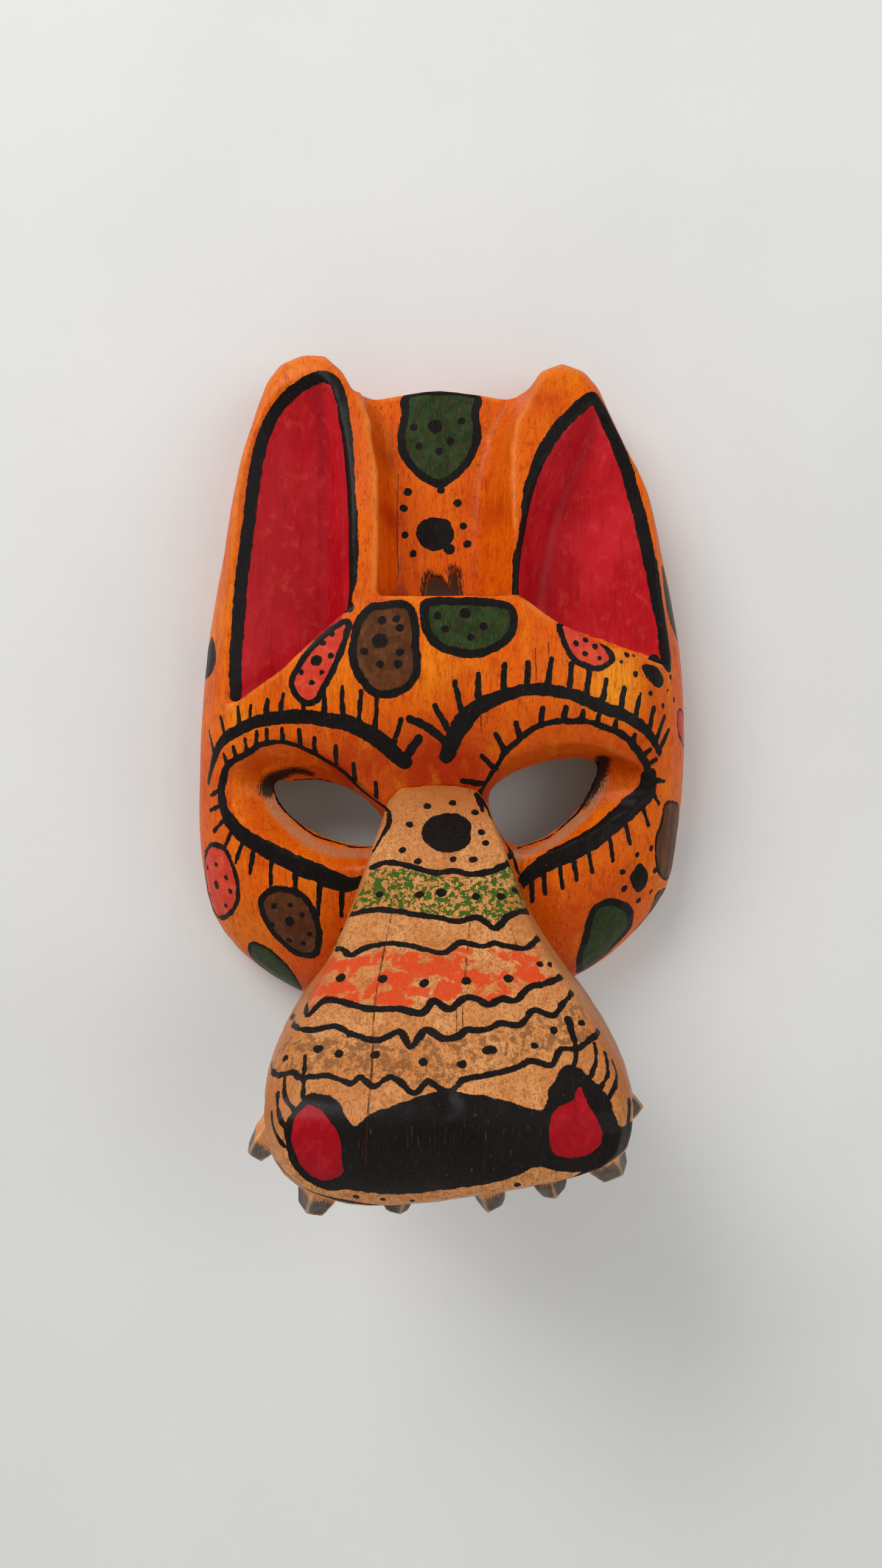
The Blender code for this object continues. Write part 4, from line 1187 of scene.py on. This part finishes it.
def tooth_wood(name):
    """Whittled tooth: stained wood with a dark painted end."""
    r = Recipe(name)
    colour = r.mix(r.vein("tooth cloud", 0.35, 0.7), TONES["tooth"], TONES["tooth light"])
    colour = r.mix(r.vein("tooth fibre", 0.5, 0.68, 0, 0.5), colour, TONES["tooth fibre"])
    end = r.math("ADD", r.mark("tip"), r.vein("tooth fibre", 0.3, 0.7, -1.2, 1.2))
    grey = r.mix(r.vein("tooth cloud", 0.4, 0.65), TONES["tip"], TONES["tip light"])
    colour = r.mix(r.between(end, 0.5, -0.5, 0, 0.94), colour, grey)
    gum = r.math("ADD", r.mark("root"), r.vein("tooth fibre", 0.3, 0.7, -0.8, 0.8))
    colour = r.mix(r.between(gum, 0.8, -0.6, 0, 0.85), colour, TONES["gum"])
    # the teeth's ridges painted lighter, as rubbed wood and as painted highlight
    colour = r.mix(r.between(r.mark("hollow"), -0.3, -0.9, 0, 0.4), colour, TONES["tooth ridge rub and highlight"])
    normal = r.bump(r.grain("tooth cloud"), 0.0005, r.bump(r.grain("tooth fibre"), 0.00016))
    return r.finish(colour, r.vein("tooth fibre", 0.35, 0.7, 0.38, 0.58), normal)


def dowel_wood(name):
    """Plain turned dowel."""
    r = Recipe(name)
    colour = r.mix(r.vein("dowel board", 0.35, 0.7), TONES["dowel"], TONES["dowel board"])
    colour = r.mix(r.vein("dowel fibre", 0.5, 0.68, 0, 0.5), colour, TONES["dowel fibre"])
    rough = r.vein("dowel fibre", 0.35, 0.7, 0.55, 0.75)
    return r.finish(colour, rough, r.bump(r.grain("dowel fibre"), 0.0001), coat=0.0)


# ---------------------------------------------------------------------------------------------------------
# Operators
# ---------------------------------------------------------------------------------------------------------

class CarveFace(bpy.types.Operator):
    """Carve and paint the face"""

    bl_idname = "cat_mask.carve_face"
    bl_label = "Carve Face"

    def execute(self, context):
        finish = painted_wood("stained and painted face", False)
        finished_piece(HEAD, "face_shell", "painted_face", finish)
        return {"FINISHED"}


class CarveEars(bpy.types.Operator):
    """Carve and paint both ears"""

    bl_idname = "cat_mask.carve_ears"
    bl_label = "Carve Ears"

    def execute(self, context):
        finish = painted_wood("stained and painted ear", False)
        for side in ("left", "right"):
            finished_piece(HEAD, f"ear_{side}", f"painted_ear_{side}", finish)
        return {"FINISHED"}


class CarveMuzzle(bpy.types.Operator):
    """Carve and paint the muzzle"""

    bl_idname = "cat_mask.carve_muzzle"
    bl_label = "Carve Muzzle"

    def execute(self, context):
        finish = painted_wood("bare and painted muzzle", True)
        finished_piece(SNOUT, "muzzle", "painted_muzzle", finish)
        return {"FINISHED"}


class WhittleTeeth(bpy.types.Operator):
    """Whittle the peg teeth in the lip"""

    bl_idname = "cat_mask.whittle_teeth"
    bl_label = "Whittle Teeth"

    def execute(self, context):
        finish = tooth_wood("whittled tooth")
        for node in TEETH:
            self.whittle(node, finish, context.scene.mask_carving)
        return {"FINISHED"}

    def whittle(self, node, finish, sizes):
        name = "whittled_" + node
        mesh = carve(
            (node,), "carved " + node, sizes.tooth_division, sizes.tooth_smoothing, sizes.tooth_knife,
            sizes.tooth_edge,
        )
        mesh.name = name
        places = coordinates(mesh)
        spread = places - places.mean(0)
        down = np.linalg.svd(spread, full_matrices=False)[2][0]
        if down[2] > 0:
            down = -down
        reach = spread @ down / MM
        write_marks(mesh, {
            "tip": reach.max() - reach - PAINTED_TIP,
            "root": reach - reach.min() - STAINED_ROOT,
            "hollow": hollows(mesh, places, normals(mesh), 2, 20),
        })
        dress(mesh, finish)
        set_down(mesh, name, node)


class FinishPegs(bpy.types.Operator):
    """Give the hidden dowels their wood"""

    bl_idname = "cat_mask.finish_pegs"
    bl_label = "Finish Pegs"

    def execute(self, context):
        finish = dowel_wood("plain dowel")
        for node in PEGS:
            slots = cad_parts[node].material_slots
            if not slots:
                raise RuntimeError(f"{node} has no material slot")
            for place in slots:
                place.material = finish
        return {"FINISHED"}


class SetStage(bpy.types.Operator):
    """Put up the wall, the floor, the lights and the camera"""

    bl_idname = "cat_mask.set_stage"
    bl_label = "Set Stage"

    def execute(self, context):
        stage = context.scene.mask_stage
        half, drop, back = stage.wall_width / 2, stage.floor_drop, 0.001
        front = back - 2 * half
        wall = self.sheet("wall", [
            (-half, back, -drop), (half, back, -drop), (half, back, half), (-half, back, half)])
        floor = self.sheet("floor", [
            (-half, front, -drop), (half, front, -drop), (half, back, -drop), (-half, back, -drop)])
        for obj in (wall, floor):
            obj.data.materials.append(self.plaster(stage))
        wall.visible_shadow = False  # the hollow back is lit from behind the wall
        aim = Vector((0, -0.03, -0.07))
        for name, spot, size, power in (
            ("key light", (-0.75, -1.0, 0.95), 0.9, stage.key_power),
            ("fill light", (1.1, -1.2, 0.15), 1.2, stage.fill_power),
            ("rear light", (0.15, 1.5, 0.25), 1.0, stage.rear_power),
        ):
            lamp = bpy.data.lights.new(name, "AREA")
            lamp.size = size
            lamp.energy = power
            obj = link(bpy.data.objects.new(name, lamp))
            obj.location = spot
            obj.rotation_euler = (aim - Vector(spot)).to_track_quat("-Z", "Y").to_euler()
            obj.visible_camera = False
        world = bpy.data.worlds.new("pale room")
        world.use_nodes = True
        world.node_tree.nodes["Background"].inputs["Color"].default_value = (0.93, 0.95, 1.0, 1)
        world.node_tree.nodes["Background"].inputs["Strength"].default_value = stage.sky
        context.scene.world = world
        context.scene.view_settings.view_transform = "Standard"
        camera = bpy.data.cameras.new("camera")
        camera.lens = 27.04
        camera.sensor_width = 36
        camera.clip_start = 0.01
        eye = link(bpy.data.objects.new("camera", camera))
        eye.location = (0, -0.45, -MUZZLE_ROOT)
        eye.rotation_euler = (math.pi / 2, 0, 0)
        context.scene.camera = eye
        return {"FINISHED"}

    def sheet(self, name, corners):
        mesh = bpy.data.meshes.new(name)
        mesh.from_pydata(corners, [], [(0, 1, 2, 3)])
        return link(bpy.data.objects.new(name, mesh))

    def plaster(self, stage):
        """Pale matt plaster that doesn't show from behind."""
        r = Recipe("pale plaster")
        tint = tuple(stage.wall)
        colour = r.mix(r.vein("plaster cloud", 0.3, 0.7), tint, tuple(0.96 * c for c in tint))
        rough = r.vein("plaster tooth", 0.3, 0.7, 0.75, 0.9)
        r.finish(colour, rough, r.bump(r.grain("plaster tooth"), 0.00005), coat=0.0, specular=0.2)
        clear = r.node("ShaderNodeBsdfTransparent")
        choose = r.node("ShaderNodeMixShader")
        r.put(choose.inputs[0], r.node("ShaderNodeNewGeometry").outputs["Backfacing"])
        r.put(choose.inputs[1], r.shader.outputs[0])
        r.put(choose.inputs[2], clear.outputs[0])
        r.put(r.tree.nodes["Material Output"].inputs["Surface"], choose.outputs[0])
        return r.material


class MaskPanel(bpy.types.Panel):
    """The steps that make the mask, with their sizes and colours"""

    bl_idname = "VIEW3D_PT_cat_mask"
    bl_label = "Painted Cat Mask"
    bl_space_type = "VIEW_3D"
    bl_region_type = "UI"
    bl_category = "Cat Mask"

    def draw(self, context):
        for step in STEPS:
            self.layout.operator(step.bl_idname)
        for group in (context.scene.mask_carving, context.scene.mask_paints, context.scene.mask_stage):
            box = self.layout.box()
            for key in group.bl_rna.properties.keys():
                if key not in ("rna_type", "name"):
                    box.prop(group, key)


STEPS = (SetStage, CarveFace, CarveEars, CarveMuzzle, WhittleTeeth, FinishPegs)
GROUPS = {"mask_carving": CarvingSettings, "mask_paints": PaintSettings, "mask_stage": StageSettings}


def register():
    for kind in (*GROUPS.values(), *STEPS, MaskPanel):
        bpy.utils.register_class(kind)
    for name, group in GROUPS.items():
        setattr(bpy.types.Scene, name, PointerProperty(type=group))


def unregister():
    for name in GROUPS:
        delattr(bpy.types.Scene, name)
    for kind in reversed((*GROUPS.values(), *STEPS, MaskPanel)):
        bpy.utils.unregister_class(kind)


def main():
    register()
    bpy.ops.cat_mask.set_stage()
    bpy.ops.cat_mask.carve_face()
    bpy.ops.cat_mask.carve_ears()
    bpy.ops.cat_mask.carve_muzzle()
    bpy.ops.cat_mask.whittle_teeth()
    bpy.ops.cat_mask.finish_pegs()


if __name__ == "__main__":
    main()
